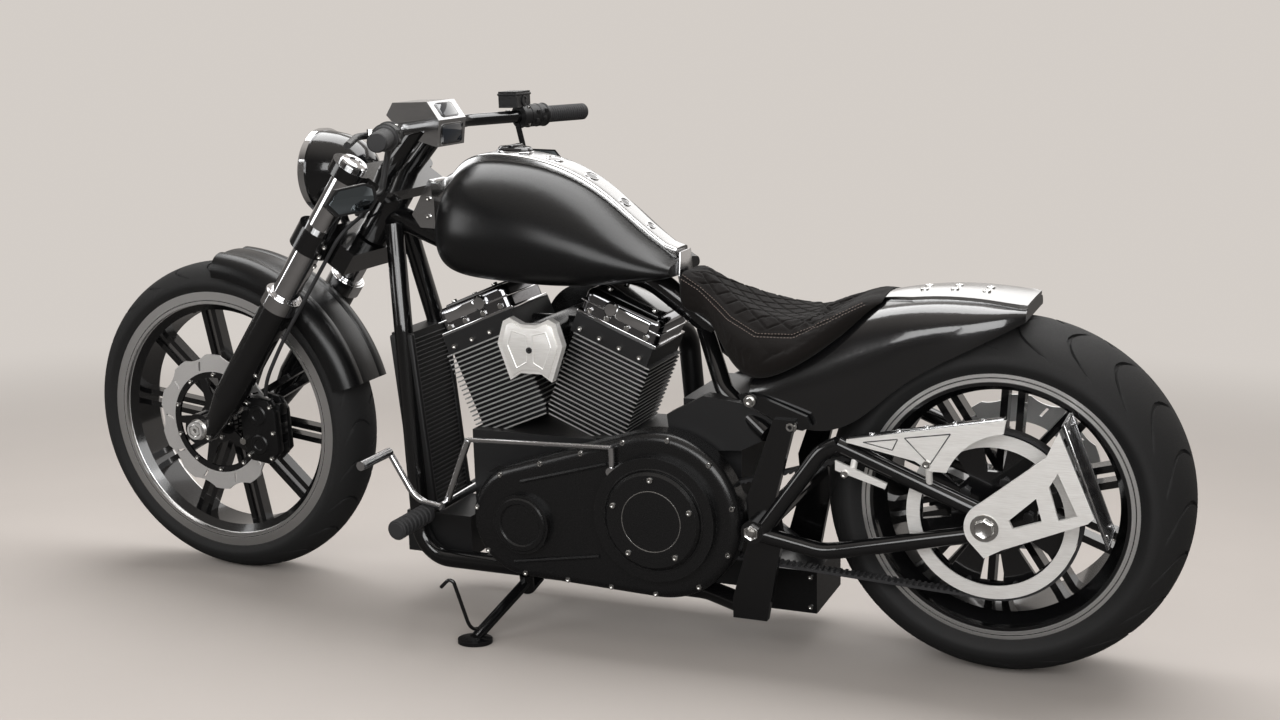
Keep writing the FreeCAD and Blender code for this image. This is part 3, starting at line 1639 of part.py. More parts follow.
def rocker_cover(sign):
    """The bright rocker cover on a head."""
    base = head_base + S.head_height
    body = new_body("rocker_cover")
    reach = S.rocker_reach
    sketch = outline(body, "XY_Plane", [
        (-reach, -S.rocker_half_depth), (reach, -S.rocker_half_depth),
        (reach, S.rocker_half_depth), (-reach, S.rocker_half_depth),
    ], level=base)
    pad(body, sketch, S.rocker_height, towards="normal")
    soften(body, S.rocker_height / 3, lambda edge: runs_along(edge, Z_AXIS))
    soften(body, S.rocker_height / 4, lambda edge: at_level(edge, "z", base + S.rocker_height))
    body.Placement = cylinder_place(sign)
    return body


keep("rocker_covers", both_sides(rocker_cover))


def primary_path(grow=ZERO):
    """The primary case's outline: round the clutch, round the crank, and their tangents."""
    big = S.clutch_case_radius + grow
    small = S.crank_case_radius + grow
    run_x = (S.crank_x - S.clutch_x).number
    run_z = (S.crank_z - S.clutch_z).number
    slope = math.atan2(run_z, run_x)
    spread = math.acos((big.number - small.number) / math.hypot(run_x, run_z))
    def on(x, z, radius, angle):
        return (x + radius * math.cos(angle), z + radius * math.sin(angle))
    return [
        on(S.clutch_x, S.clutch_z, big, slope - spread),
        on(S.crank_x, S.crank_z, small, slope - spread),
        Via(*on(S.crank_x, S.crank_z, small, slope)),
        on(S.crank_x, S.crank_z, small, slope + spread),
        on(S.clutch_x, S.clutch_z, big, slope + spread),
        Via(*on(S.clutch_x, S.clutch_z, big, slope + math.pi)),
    ]


def primary():
    """The primary cover with a boss over the clutch and one over the crank."""
    body = new_body("primary_cover")
    shell = outline(body, "XZ_Plane", primary_path(), level=S.primary_inner)
    pad(body, shell, S.primary_face - S.primary_inner, towards="against")
    soften(body, S.clutch_boss_rise, lambda edge: at_level(edge, "y", S.primary_face))
    clutch = circles(body, "XZ_Plane", (S.clutch_x, S.clutch_z, S.clutch_boss_radius),
        level=S.primary_inner)
    pad(body, clutch, S.primary_face - S.primary_inner + S.clutch_boss_rise, towards="against")
    crank = circles(body, "XZ_Plane", (S.crank_x, S.crank_z, S.crank_boss_radius), level=S.primary_inner)
    pad(body, crank, S.primary_face - S.primary_inner + S.crank_boss_rise, towards="against")
    keep("primary_cover", body)


primary()


def derby():
    """The round cover over the clutch, with one turned ring."""
    face = S.primary_face + S.clutch_boss_rise
    body = new_body("derby_cover")
    profile = outline(body, "XY_Plane", [
        (ZERO, face),
        (S.derby_radius, face),
        (S.derby_radius, face + S.derby_rise / 2),
        (S.derby_radius - S.derby_rise / 2, face + S.derby_rise),
        (S.derby_ring_radius + S.derby_groove / 2, face + S.derby_rise),
        (S.derby_ring_radius, face + S.derby_rise - S.derby_groove / 2),
        (S.derby_ring_radius - S.derby_groove / 2, face + S.derby_rise),
        (ZERO, face + S.derby_rise),
    ])
    turn(body, profile)
    keep("derby_cover", body, FreeCAD.Placement(spot(S.clutch_x, ZERO, S.clutch_z), FreeCAD.Rotation()))


derby()
cam_face = S.case_half_width + S.cam_cover_rise
keep("cam_cover", rod(
    (S.crank_x, -S.case_half_width, S.crank_z + S.cam_cover_radius / 4),
    (S.crank_x, -cam_face, S.crank_z + S.cam_cover_radius / 4), S.cam_cover_radius,
))


def pushrods():
    """Four pushrod tubes from the cam cover up to the heads."""
    tubes = []
    for sign in (1, -1):
        for offset_share in (0.25, 0.75):
            tilt = math.radians(sign * float(sheet.get("cylinder_angle")))
            low = (
                S.crank_x + S.cam_cover_radius * sign * offset_share * 0.8,
                -S.fin_half_depth - S.pushrod_radius * 1.5,
                S.crank_z + S.cam_cover_radius * 1.1,
            )
            shift = S.cam_cover_radius * sign * offset_share * 0.8
            high = (
                S.crank_x + head_base * math.sin(tilt) + shift * math.cos(tilt),
                -S.fin_half_depth - S.pushrod_radius * 1.5,
                S.crank_z + head_base * math.cos(tilt) - shift * math.sin(tilt),
            )
            tubes.append(rod(low, high, S.pushrod_radius))
    return together(*tubes)


keep("pushrod_tubes", pushrods(), clear_of=("cam_cover", "engine_case"))


def coil_cover():
    """The polished cover between the cylinders, broad at the top and with two points below."""
    body = new_body("coil_cover")
    half_shares = [(0.16, -0.38), (0.32, -0.50), (0.5, 0.08), (0.40, 0.44), (0.30, 0.5), (0.12, 0.40)]
    path = [(share_x, share_z) for share_x, share_z in half_shares]
    path += [(-share_x, share_z) for share_x, share_z in reversed(half_shares)]
    corners = shares_to_points(path, S.crank_x, S.coil_cover_width, S.coil_cover_z, S.coil_cover_height)
    sketch = outline(body, "XZ_Plane", corners, level=S.coil_cover_y)
    pad(body, sketch, S.coil_cover_wall, towards="against")
    keep("coil_cover", body)


coil_cover()
cleaner_face = -S.fin_half_depth - S.pushrod_radius * 3
keep("air_cleaner", joined(
    rod((S.crank_x, cleaner_face, S.air_cleaner_z),
        (S.crank_x, cleaner_face - S.air_cleaner_depth, S.air_cleaner_z),
        S.air_cleaner_radius),
    rod((S.crank_x, cleaner_face, S.intake_z), (S.crank_x, S.coil_cover_y, S.intake_z), S.intake_radius),
    rod((S.crank_x - S.rocker_reach, ZERO, S.intake_z), (S.crank_x + S.rocker_reach, ZERO, S.intake_z),
        S.intake_radius * 0.8),
), clear_of=("cylinders", "cylinder_heads"))


def oil_cooler():
    """The tall cooler behind the downtubes, which leans with them."""
    body = new_body("cooler")
    rear = S.downtube_low_x - S.cooler_depth / 2
    top = S.cooler_z + S.cooler_height
    sketch = outline(body, "XZ_Plane", [
        (rear, S.cooler_z), (rear + S.cooler_depth, S.cooler_z),
        (rear + S.cooler_depth + S.cooler_lean, top), (rear + S.cooler_lean, top),
    ])
    pad(body, sketch, S.cooler_width)
    return body


keep("oil_cooler", oil_cooler(), clear_of=("cradle_tubes",))
keep("chin_cover", block(
    (S.downtube_low_x - S.chin_length * 0.7, -S.downtube_low_spread + S.downtube_radius, S.rail_z),
    S.chin_length, S.downtube_low_spread * 2 - S.downtube_radius * 2, S.chin_height * 0.9,
), clear_of=("cradle_tubes",))

# Exhaust

def header_pipe(sign):
    """A header pipe from a head's right side, down beside the engine and back to the box."""
    tilt = math.radians(sign * float(sheet.get("cylinder_angle")))
    port = head_base + S.head_height / 2
    side_y = -(S.case_half_width + S.cam_cover_rise + S.pipe_radius * 1.4)
    low_y = -(S.case_half_width + S.pipe_radius * 1.3)
    start = (
        S.crank_x + port * math.sin(tilt) + S.rocker_reach * sign * 0.4, -S.fin_half_depth,
        S.crank_z + port * math.cos(tilt),
    )
    collector_z = case_bottom + S.pipe_radius * 2.4
    return tube([
        start,
        (start[0] + S.pipe_radius * sign, side_y, start[2] - S.pipe_radius),
        (start[0] + S.pipe_radius * sign * 2, side_y, collector_z + S.crank_case_radius),
        (S.crank_x - S.crank_case_radius * 1.6, low_y, collector_z),
        (S.box_x + S.box_length + S.pipe_radius * 2, low_y, collector_z),
        (S.box_x + S.box_length * 0.6, S.box_y + S.pipe_radius * 1.5,
            S.box_z + S.box_height - S.pipe_radius / 2),
    ], S.pipe_radius, S.pipe_bend)


keep("exhaust", joined(
    block((S.box_x, S.box_y, S.box_z), S.box_length, S.box_width, S.box_height),
    shaped(header_pipe(1).fuse(header_pipe(-1))),
), clear_of=("cylinder_heads", "engine_case", "cam_cover", "cradle_tubes", "rear_frame"))

# Tank

tank_station_shares = [
    # place along the length, half width, top, bottom
    (0.00, 0.34, 0.62, 0.26),
    (0.04, 0.62, 0.80, 0.14),
    (0.13, 0.86, 0.96, 0.06),
    (0.30, 0.98, 1.00, 0.02),
    (0.50, 1.00, 0.92, 0.00),
    (0.70, 0.92, 0.70, 0.01),
    (0.87, 0.72, 0.40, 0.04),
    (1.00, 0.50, 0.20, 0.08),
]
tank_section_shares = [
    # across and up, from the middle of the top round the left side to the middle of the bottom
    (0.00, 1.00), (0.36, 0.96), (0.72, 0.80), (0.96, 0.52), (0.98, 0.28), (0.80, 0.06), (0.40, 0.00),
        (0.00, 0.00),
]


def mirrored_section(x, half, low, high, shares):
    """A section's points at one x, the left half and its mirror image."""
    left = [(half * across, low + (high - low) * up) for across, up in shares]
    right = [(-y, z) for y, z in reversed(left[1:-1])]
    return [FreeCAD.Vector(x.number, y.number, z.number) for y, z in left + right]


def tank_form(grow):
    """The tank as one smooth body through sections, grown all round for its trim."""
    wires = []
    for place, half, top, bottom in tank_station_shares:
        wires.append(ring(mirrored_section(
            S.tank_front_x + grow - (S.tank_length + grow * 2) * place,
            S.tank_half_width * half + grow,
            S.tank_bottom_z + S.tank_height * bottom,
            S.tank_bottom_z + S.tank_height * top + grow,
            tank_section_shares,
        )))
    return Part.makeLoft(wires, True, False)


keep("fuel_tank", shaped(tank_form(ZERO)), clear_of=("backbone",))

# Seat

seat_station_shares = [
    # place along the length, half width, top, bottom
    (0.00, 0.30, 1.00, 0.84),
    (0.12, 0.50, 0.94, 0.62),
    (0.30, 0.80, 0.76, 0.30),
    (0.45, 1.00, 0.66, 0.16),
    (0.62, 1.00, 0.64, 0.26),
    (0.78, 0.90, 0.76, 0.46),
    (0.92, 0.66, 0.87, 0.66),
    (1.00, 0.46, 0.88, 0.74),
]
seat_section_shares = [
    (0.00, 0.98), (0.45, 1.00), (0.80, 0.90), (1.00, 0.55), (0.98, 0.10), (0.80, 0.00), (0.40, 0.06),
        (0.00, 0.08),
]


# Rear fender

fender_station_shares = [
    # place along the length from the tail, half width, crown, lower edge
    (0.00, 0.66, 0.95, 0.86),
    (0.10, 0.86, 0.98, 0.76),
    (0.26, 0.98, 1.00, 0.60),
    (0.45, 1.00, 0.98, 0.36),
    (0.62, 1.00, 0.90, 0.10),
    (0.80, 1.00, 0.70, 0.05),
    (1.00, 1.00, 0.42, 0.18),
]
fender_arch_shares = [
    # across and up, from the lower left edge over the crown
    (1.00, 0.00), (1.00, 0.36), (0.95, 0.64), (0.76, 0.87), (0.40, 0.97), (0.00, 1.00),
]
trim_front_share = 0.56
trim_taper_shares = [(0.0, 0.52), (0.10, 0.58), (0.80, 0.50), (1.0, 0.34)]


def arch(x, half, low, high):
    """A closed arch at one x: a smooth curve over the crown and a straight line below."""
    left = [(half * across, low + (high - low) * up) for across, up in fender_arch_shares]
    points = left + [(-y, z) for y, z in reversed(left[:-1])]
    vectors = [FreeCAD.Vector(x.number, y.number, z.number) for y, z in points]
    curve = Part.BSplineCurve()
    curve.interpolate(vectors)
    return Part.Wire([curve.toShape(), Part.makeLine(vectors[-1], vectors[0])])


def fender_form(shrink, drop, start):
    """The fender's closed form, shrunk all round and dropped below for the inside."""
    wires = []
    low_z = S.fender_top_z - S.fender_drop
    for place, half, top, bottom in fender_station_shares:
        wires.append(arch(
            S.fender_rear_x + start + S.fender_length * place,
            S.fender_half_width * half - shrink,
            low_z + S.fender_drop * bottom - drop,
            low_z + S.fender_drop * top - shrink,
        ))
    return Part.makeLoft(wires, True, False)


fender_outer = fender_form(ZERO, ZERO, ZERO)
fender_inner = fender_form(S.fender_wall, S.cut_overrun, S.fender_wall)
keep("rear_fender", shaped(fender_outer.cut(fender_inner)))


def plan_prism(x, length, half_width, low, high, taper):
    """An upright block whose plan tapers along x; taper holds shares of length and of half width."""
    left = [(x + length * along_share, half_width * half_share) for along_share, half_share in taper]
    corners = left + [(place, -half) for place, half in reversed(left)]
    points = [FreeCAD.Vector(place.number, half.number, low.number) for place, half in corners]
    face = Part.Face(Part.makePolygon(points + points[:1]))
    return face.extrude(Z_AXIS * (high - low).number)


def fender_trim():
    """The bright strip that lies on the fender's crown."""
    skin = fender_form(-S.fender_trim_wall, -S.cut_overrun, ZERO)
    plan = plan_prism(
        S.fender_rear_x - S.fender_trim_wall * 3, S.fender_length * trim_front_share, S.fender_half_width,
        S.fender_top_z - S.fender_drop, S.fender_top_z + S.fender_drop, trim_taper_shares,
    )
    return skin.common(plan).cut(fender_outer)


bright_strip = fender_trim()
keep("rear_fender_trim", shaped(bright_strip))


def seat():
    """The seat pad as one closed solid."""
    wires = []
    for place, half, top, bottom in seat_station_shares:
        wires.append(ring(mirrored_section(
            S.seat_front_x - S.seat_length * place,
            S.seat_half_width * half,
            S.seat_bottom_z + S.seat_height * bottom,
            S.seat_bottom_z + S.seat_height * top,
            seat_section_shares,
        )))
    return Part.makeLoft(wires, True, False)


keep("seat", shaped(seat().cut(fender_outer).cut(bright_strip)),
    clear_of=("backbone", "rear_frame", "fuel_tank"))


def plate(corner_shares, x, width, z, height, level, wall):
    """A flat plate drawn from the side; level is its face nearer the bike's middle, on the left."""
    corners = shares_to_points(corner_shares, x, width, z, height)
    points = [FreeCAD.Vector(place.number, level.number, up.number) for place, up in corners]
    return Part.Face(Part.makePolygon(points + points[:1])).extrude(Y_AXIS * wall.number)


def twin(shape):
    """The shape and its mirror image on the right."""
    return Part.makeCompound([shape, shape.mirror(FreeCAD.Vector(), Y_AXIS)])


strut_shares = [(0.0, 0.0), (0.12, -0.16), (0.3, -0.1), (1.0, 0.75), (1.05, 1.0), (0.86, 1.1), (0.06, 0.36)]
strut_length = S.fender_length * 0.27
strut_x = S.fender_rear_x + S.fender_length * 0.75
keep("fender_struts", shaped(twin(plate(
    strut_shares, strut_x, strut_length, S.fender_top_z - S.fender_drop + S.strut_wall * 2,
        S.strut_wall * 5,
    S.fender_half_width + S.fender_wall * 1.6, S.strut_wall,
))), clear_of=("rear_frame",))

# Side covers and battery box below the seat

cover_shares = [(0.02, 0.34), (0.0, 0.66), (0.30, 0.92), (0.64, 1.0), (1.0, 0.62), (0.98, 0.26),
    (0.70, 0.0), (0.30, 0.06)]
keep("side_covers", joined(
    block((S.cover_x + S.cover_length * 0.3, -S.cover_inner, S.cover_z + S.cover_height * 0.15),
          S.cover_length * 0.6, S.cover_inner * 2, S.cover_height * 0.7),
    shaped(twin(plate(
        cover_shares, S.cover_x, S.cover_length, S.cover_z, S.cover_height, S.cover_inner, S.cover_wall,
    ))),
), clear_of=("rear_frame", "fender_struts"))

# Belt guard and its lower bar

guard_level = S.swing_spread + S.swing_tube_radius


def belt_guard():
    """The polished guard over the pulley, with triangular pockets."""
    body = new_body("belt_guard")
    guard_shares = [(1.0, 0.40), (1.0, 0.45), (0.0, 1.0), (0.015, 0.76), ("via", 0.2, 0.56), (0.36, 0.0),
        (0.46, 0.0), (0.56, 0.16)]
    corners = []
    for step in guard_shares:
        share_x, share_z = step[-2:]
        x = S.guard_x + S.guard_length * share_x
        z = S.guard_z + S.guard_height * share_z
        corners.append(Via(x, z) if len(step) > 2 else (x, z))
    sketch = outline(body, "XZ_Plane", corners, level=guard_level)
    pad(body, sketch, S.guard_wall, towards="against")
    window_shares = [(0.46, 0.22), (0.52, 0.50), (0.76, 0.42)]
    window = outline(
        body, "XZ_Plane",
        shares_to_points(window_shares, S.guard_x, S.guard_length, S.guard_z, S.guard_height),
        level=guard_level + S.guard_wall / 2,
    )
    recess(body, window, S.guard_wall, towards="normal")
    return body


bar_shares = [(0.0, 0.0), (0.04, -0.18), (1.0, 0.30), (1.0, 0.62)]
guard_face = guard_level + S.guard_wall / 2
guard_boss_x = S.swing_upper_x * 0.38
bar_boss_x = S.swing_upper_x * 0.88
arm_slope = (S.swing_upper_z - S.rear_radius).number / S.swing_upper_x.number
keep("belt_guards", together(
    joined(
        belt_guard(),
        rod((guard_boss_x, S.swing_spread, S.rear_radius + guard_boss_x * arm_slope),
            (guard_boss_x, guard_face, S.guard_z + S.guard_wall * 2), S.guard_wall),
    ),
    joined(
        shaped(plate(
            bar_shares, S.swing_upper_x - S.guard_bar_length, S.guard_bar_length,
            S.swing_upper_z - S.guard_bar_length * 0.62, S.guard_bar_length * 0.6, guard_level,
                S.guard_wall,
        )),
        rod((bar_boss_x, S.swing_spread, S.rear_radius + bar_boss_x * arm_slope),
            (bar_boss_x, guard_face, S.swing_upper_z - S.guard_bar_length * 0.4), S.guard_wall),
    ),
), clear_of=("swingarm",))

# Plate bracket on the left axle end, and its bare plate


def plate_bracket():
    """A polished Y-shaped plate from the axle to the plate's carrier, with two windows."""
    body = new_body("plate_bracket")
    level = rear_axle_half
    outer_shares = [
        (0.18, -0.20), (0.0, -0.30), (-0.16, -0.14), ("via", -0.20, 0.06), (-0.08, 0.22), (0.58, 0.74),
            (0.70, 1.0),
        (1.06, 0.20), (1.0, 0.14),
    ]
    corners = []
    for step in outer_shares:
        share_x, share_z = step[-2:]
        x = -(S.bracket_length * share_x)
        z = S.rear_radius + S.bracket_height * share_z
        corners.append(Via(x, z) if len(step) > 2 else (x, z))
    sketch = outline(body, "XZ_Plane", corners, level=level)
    pad(body, sketch, S.plate_bracket_wall, towards="against")
    window_shares = [
        [(0.24, 0.10), (0.50, 0.34), (0.56, 0.12), (0.28, 0.02)],
        [(0.62, 0.46), (0.70, 0.60), (0.90, 0.20), (0.72, 0.14)],
    ]
    for shares in window_shares:
        path = [(-(S.bracket_length * share_x), S.rear_radius + S.bracket_height * share_z) for share_x,
            share_z in shares]
        pocket(body, outline(body, "XZ_Plane", path, level=level))
    hole = circles(body, "XZ_Plane", (ZERO, S.rear_radius, S.axle_bore_radius), level=level)
    pocket(body, hole)
    keep("plate_bracket", body)


plate_bracket()
carrier_tilt = math.radians(float(sheet.get("plate_tilt")))


def side_plate():
    """The bare plate, standing across the bracket's rear edge and leaning forwards at its top."""
    top_x = -(S.bracket_length * 0.72)
    top_z = S.rear_radius + S.bracket_height * 1.06
    low_x = top_x - S.plate_height * math.sin(carrier_tilt)
    low_z = top_z - S.plate_height * math.cos(carrier_tilt)
    body = new_body("side_plate")
    sketch = outline(body, "XZ_Plane", [
        (top_x, top_z), (low_x, low_z), (low_x - S.plate_wall, low_z), (top_x - S.plate_wall, top_z),
    ], level=rear_axle_half + S.plate_bracket_wall)
    pad(body, sketch, S.plate_width, towards="normal")
    keep("side_plate", body, clear_of=("plate_bracket",))


side_plate()

# Rear caliper


def rear_caliper():
    """A caliper that straddles the rear disc, held on the right lower tube."""
    level = rear_disc_level
    inner = level - S.caliper_slot / 2 - S.caliper_wall * 0.6
    width = S.caliper_slot + S.caliper_wall * 1.2
    outer_x = S.disc_radius + S.disc_wall * 3
    body = block(
        (outer_x - S.caliper_reach, inner, -S.caliper_height / 2), S.caliper_reach, width,
            S.caliper_height * 0.8
    )
    slot = block(
        (outer_x - S.caliper_reach - S.caliper_wall * 0.4, level - S.caliper_slot / 2, -S.caliper_height),
        S.caliper_reach, S.caliper_slot, S.caliper_height * 2,
    )
    hanger_x = outer_x - S.caliper_reach / 2
    hanger_z = -S.caliper_height * 0.28
    hanger = rod((hanger_x, inner, hanger_z), (hanger_x, -S.swing_spread, hanger_z), S.caliper_wall / 2)
    return joined(without(body, slot), hanger)


keep("rear_caliper", rear_caliper(), REAR_WHEEL, clear_of=("swingarm",))

# Trim on the tank

tank_trim_taper_shares = [(0.0, 0.9), (0.16, 1.0), (0.55, 0.8), (0.85, 0.5), (1.0, 0.6)]


def tank_trim():
    """The bright spine over the tank with the round cap on it."""
    skin = tank_form(S.tank_trim_wall)
    plan = plan_prism(
        S.tank_front_x + S.tank_trim_wall * 2, -(S.tank_length + S.tank_trim_wall * 2),
            S.tank_trim_half_width,
        S.tank_bottom_z + S.tank_height * 0.14, S.tank_bottom_z + S.tank_height * 2, tank_trim_taper_shares,
    )
    tank = tank_form(ZERO)
    cap_x = S.tank_front_x - S.tank_length * cap_place_share
    cap_low = S.tank_bottom_z + S.tank_height - S.cap_height
    cap = Part.makeCylinder(S.cap_radius.number, S.cap_height.number * 3.4, spot(cap_x, ZERO, cap_low))
    return skin.common(plan).cut(tank).fuse(cap.cut(tank)).cut(backbone_tube)


cap_place_share = 0.30
keep("tank_trim", shaped(tank_trim()))


def neck_bracket():
    """The bright bracket between the tank and the steering head."""
    side_shares = [(0.0, 0.0), (0.66, 0.02), (1.0, 0.28), (0.80, 0.46), (0.52, 0.72), (0.18, 1.0),
        (0.0, 0.98)]
    body = new_body("neck_bracket")
    profile = outline(body, "XZ_Plane", shares_to_points(
        side_shares, S.tank_front_x + S.tank_trim_wall * 2, S.neck_bracket_length, S.neck_bracket_z,
            S.neck_bracket_height,
    ))
    pad(body, profile, S.neck_bracket_width)
    return body


keep("neck_bracket", neck_bracket(), clear_of=("backbone",))

# Controls at the feet


def foot_peg(side):
    """A forward peg on its bracket from the downtube."""
    peg = rod((S.peg_x, S.peg_inner * side, S.peg_z), (S.peg_x, S.peg_outer * side, S.peg_z), S.peg_radius)
    root = (S.downtube_low_x - S.downtube_radius, S.downtube_low_spread * side, S.rail_z + S.chin_height)
    arm = rod(root, (S.peg_x, S.peg_inner * side, S.peg_z), S.peg_radius * 0.7)
    return joined(peg, arm)


keep("foot_pegs", both_sides(foot_peg), clear_of=("cradle_tubes",))


def toe_lever(side):
    """A polished lever from its pivot forwards to a rubber toe peg."""
    y = (S.peg_inner + S.shift_arm_wall) * side
    pivot = (S.shift_pivot_x, y, S.shift_pivot_z)
    knee = (S.shift_pivot_x + (S.shift_toe_x - S.shift_pivot_x) * 0.5, y,
        S.shift_pivot_z + S.shift_arm_wall)
    toe = (S.shift_toe_x, y, S.shift_toe_z)
    return shaped(tube([pivot, knee, toe], S.shift_arm_wall * 0.7))


def shift_linkage():
    """The left lever with its toe peg, its upper arm and the rod back to the gearbox."""
    y = S.peg_inner + S.shift_arm_wall
    toe = rod((S.shift_toe_x, y, S.shift_toe_z), (S.shift_toe_x, S.peg_outer, S.shift_toe_z),
        S.shift_arm_wall)
    rod_y = S.primary_face + S.clutch_boss_rise / 2
    arm_top = (S.shift_pivot_x - S.shift_arm_wall * 6, rod_y, S.shift_rod_z)
    shaft = rod((S.shift_pivot_x, S.downtube_low_spread, S.shift_pivot_z),
        (S.shift_pivot_x, y, S.shift_pivot_z), S.shift_arm_wall)
    arm = rod((S.shift_pivot_x, rod_y, S.shift_pivot_z), arm_top, S.shift_arm_wall * 0.8)
    rear_end = (S.clutch_x + S.clutch_boss_radius * 0.7, rod_y, S.shift_rod_z + S.shift_arm_wall)
    link = rod(arm_top, rear_end, S.shift_rod_radius)
    clevis = rod(rear_end, (rear_end[0], rod_y, S.shift_rod_z - S.shift_arm_wall * 4),
        S.shift_arm_wall * 0.7)
    stub_z = S.shift_rod_z - S.shift_arm_wall * 4
    stub = rod((rear_end[0], S.primary_face, stub_z), (rear_end[0], rod_y + S.shift_arm_wall, stub_z),
        S.shift_arm_wall)
    return joined(toe_lever(1), toe, shaft, arm, link, clevis, stub)


def brake_pedal():
    """The right pedal on its shaft."""
    y = -(S.peg_inner + S.shift_arm_wall)
    toe = rod((S.shift_toe_x, y, S.shift_toe_z), (S.shift_toe_x, -S.peg_outer, S.shift_toe_z),
        S.shift_arm_wall * 1.6)
    root = rod((S.peg_x, y, S.peg_z), (S.shift_pivot_x, y, S.shift_pivot_z), S.shift_arm_wall)
    return joined(toe_lever(-1), toe, root)


keep("foot_levers", together(shift_linkage(), brake_pedal()),
    clear_of=("cradle_tubes", "primary_cover", "foot_pegs", "engine_case"))

# Side stand

def side_stand():
    """The leg from its bored boss down to a round foot, with a wire loop for the boot."""
    half = S.stand_boss_height / 2
    leg_end = (S.stand_foot_x, S.stand_foot_y, foot_z + S.stand_foot_wall)
    boss = together(rod((ZERO, ZERO, -half), (ZERO, ZERO, half), S.stand_boss_radius))
    boss.Placement = STAND
    leg = rod(stand_pivot, leg_end, S.stand_radius)
    top = (S.stand_foot_x, S.stand_foot_y - S.stand_foot_wall * math.sin(LEAN_ANGLE),
           foot_z + S.stand_foot_wall * math.cos(LEAN_ANGLE))
    foot = rod((S.stand_foot_x, S.stand_foot_y, foot_z), top, S.stand_foot_length / 2)
    wire = shaped(tube([
        (S.stand_foot_x, S.stand_foot_y - S.stand_foot_wall * 3, foot_z + S.stand_foot_wall * 2.4),
        (S.stand_foot_x, S.stand_foot_y + S.stand_foot_wall * 2, foot_z + S.stand_foot_wall * 4),
        (S.stand_wire_x, S.stand_wire_y, foot_z + S.stand_wire_height),
        (S.stand_wire_x + S.stand_foot_wall * 3, S.stand_wire_y,
            foot_z + S.stand_wire_height - S.stand_foot_wall * 3),
    ], S.stand_wire_radius))
    bore = together(rod((ZERO, ZERO, -half * 2), (ZERO, ZERO, half * 2),
        S.stand_pin_radius + S.running_gap))
    bore.Placement = STAND
    return without(joined(boss, leg, foot, wire), bore)


keep("side_stand", side_stand())


# Checks and output

doc.recompute()
for item in doc.Objects:
    for word in ("Invalid", "Error"):
        if word in item.State:
            raise RuntimeError(f"{item.Name} ({item.Label}) is {item.State}")
os.makedirs("parts", exist_ok=True)
for item in sub_parts.values():
    if item.Shape.isNull() or not item.Shape.isValid():
        raise RuntimeError(f"{item.Label} has no valid shape")
    item.Shape.exportStep(f"parts/{item.Label}.step")
    box = item.Shape.BoundBox
    print(f"{item.Label:24s} {len(item.Shape.Solids)} solids {item.Shape.Volume / 1e6:8.3f} litres "
          f"x {box.XMin:7.1f} {box.XMax:7.1f} y {box.YMin:7.1f} {box.YMax:7.1f} z {box.ZMin:7.1f} {box.ZMax:7.1f}")
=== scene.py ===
# %% [markdown]
# A long, low chopper leaning on its side stand. The CAD model gives every rigid form and every
# joint; this script dresses it. It starts by loading the imported model as a fixed frame.

# %% Load the frame
import json
import math

import bmesh
import bpy
from mathutils import Matrix, Vector
from mathutils.bvhtree import BVHTree
from mathutils.kdtree import KDTree


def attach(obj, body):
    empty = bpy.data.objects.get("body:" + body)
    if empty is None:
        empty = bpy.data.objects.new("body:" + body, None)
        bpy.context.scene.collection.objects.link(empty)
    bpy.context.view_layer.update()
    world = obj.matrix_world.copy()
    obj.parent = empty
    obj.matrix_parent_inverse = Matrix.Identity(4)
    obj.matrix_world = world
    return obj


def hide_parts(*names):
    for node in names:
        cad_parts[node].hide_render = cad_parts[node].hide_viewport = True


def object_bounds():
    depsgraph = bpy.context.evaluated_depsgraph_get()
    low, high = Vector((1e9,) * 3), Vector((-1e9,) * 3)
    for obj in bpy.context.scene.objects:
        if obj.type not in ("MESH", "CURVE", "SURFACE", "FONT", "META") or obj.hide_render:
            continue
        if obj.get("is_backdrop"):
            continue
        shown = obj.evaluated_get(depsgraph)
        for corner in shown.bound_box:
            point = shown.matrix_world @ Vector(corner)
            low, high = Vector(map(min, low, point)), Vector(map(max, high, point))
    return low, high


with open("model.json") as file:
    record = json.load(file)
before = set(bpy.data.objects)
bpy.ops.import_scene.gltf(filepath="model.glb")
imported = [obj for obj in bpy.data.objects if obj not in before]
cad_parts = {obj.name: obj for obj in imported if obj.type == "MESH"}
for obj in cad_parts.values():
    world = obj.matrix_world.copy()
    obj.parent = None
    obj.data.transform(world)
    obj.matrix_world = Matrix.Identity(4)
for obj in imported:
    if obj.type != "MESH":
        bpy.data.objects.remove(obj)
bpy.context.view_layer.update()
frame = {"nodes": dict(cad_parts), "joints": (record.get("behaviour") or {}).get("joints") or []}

# %% [markdown]
# The machine leans a few degrees, which makes every measurement awkward. The axle's direction in
# the joint list gives that lean exactly, so one matrix carries a piece from an upright bike, where
# it is easy to model in millimetres, into its leaning place. Three more do the same for the two
# wheels and the raked fork.

# %% Places
joints = {joint["name"]: joint for joint in frame["joints"]}
ALONG = Vector((1, 0, 0))
LEFT = Vector(joints["rear_wheel_spin"]["axis"]).normalized()
UP = ALONG.cross(LEFT)
REAR_HUB = Vector(joints["rear_wheel_spin"]["pos_m"])
FRONT_HUB = Vector(joints["front_wheel_spin"]["pos_m"])
NECK = Vector(joints["steering"]["pos_m"])
RAKE = math.radians(35)
REAR_RADIUS = 324.6
FRONT_RADIUS = 344.7
PER_MM = 0.001
CLUTCH = Vector((602, 0, 278))
CRANK = Vector((878, 0, 240))
CYLINDER_LEAN = 22.5


def axes(along, left, up):
    """The matrix that turns X, Y and Z into three directions."""
    return Matrix((along, left, up)).transposed().to_4x4()


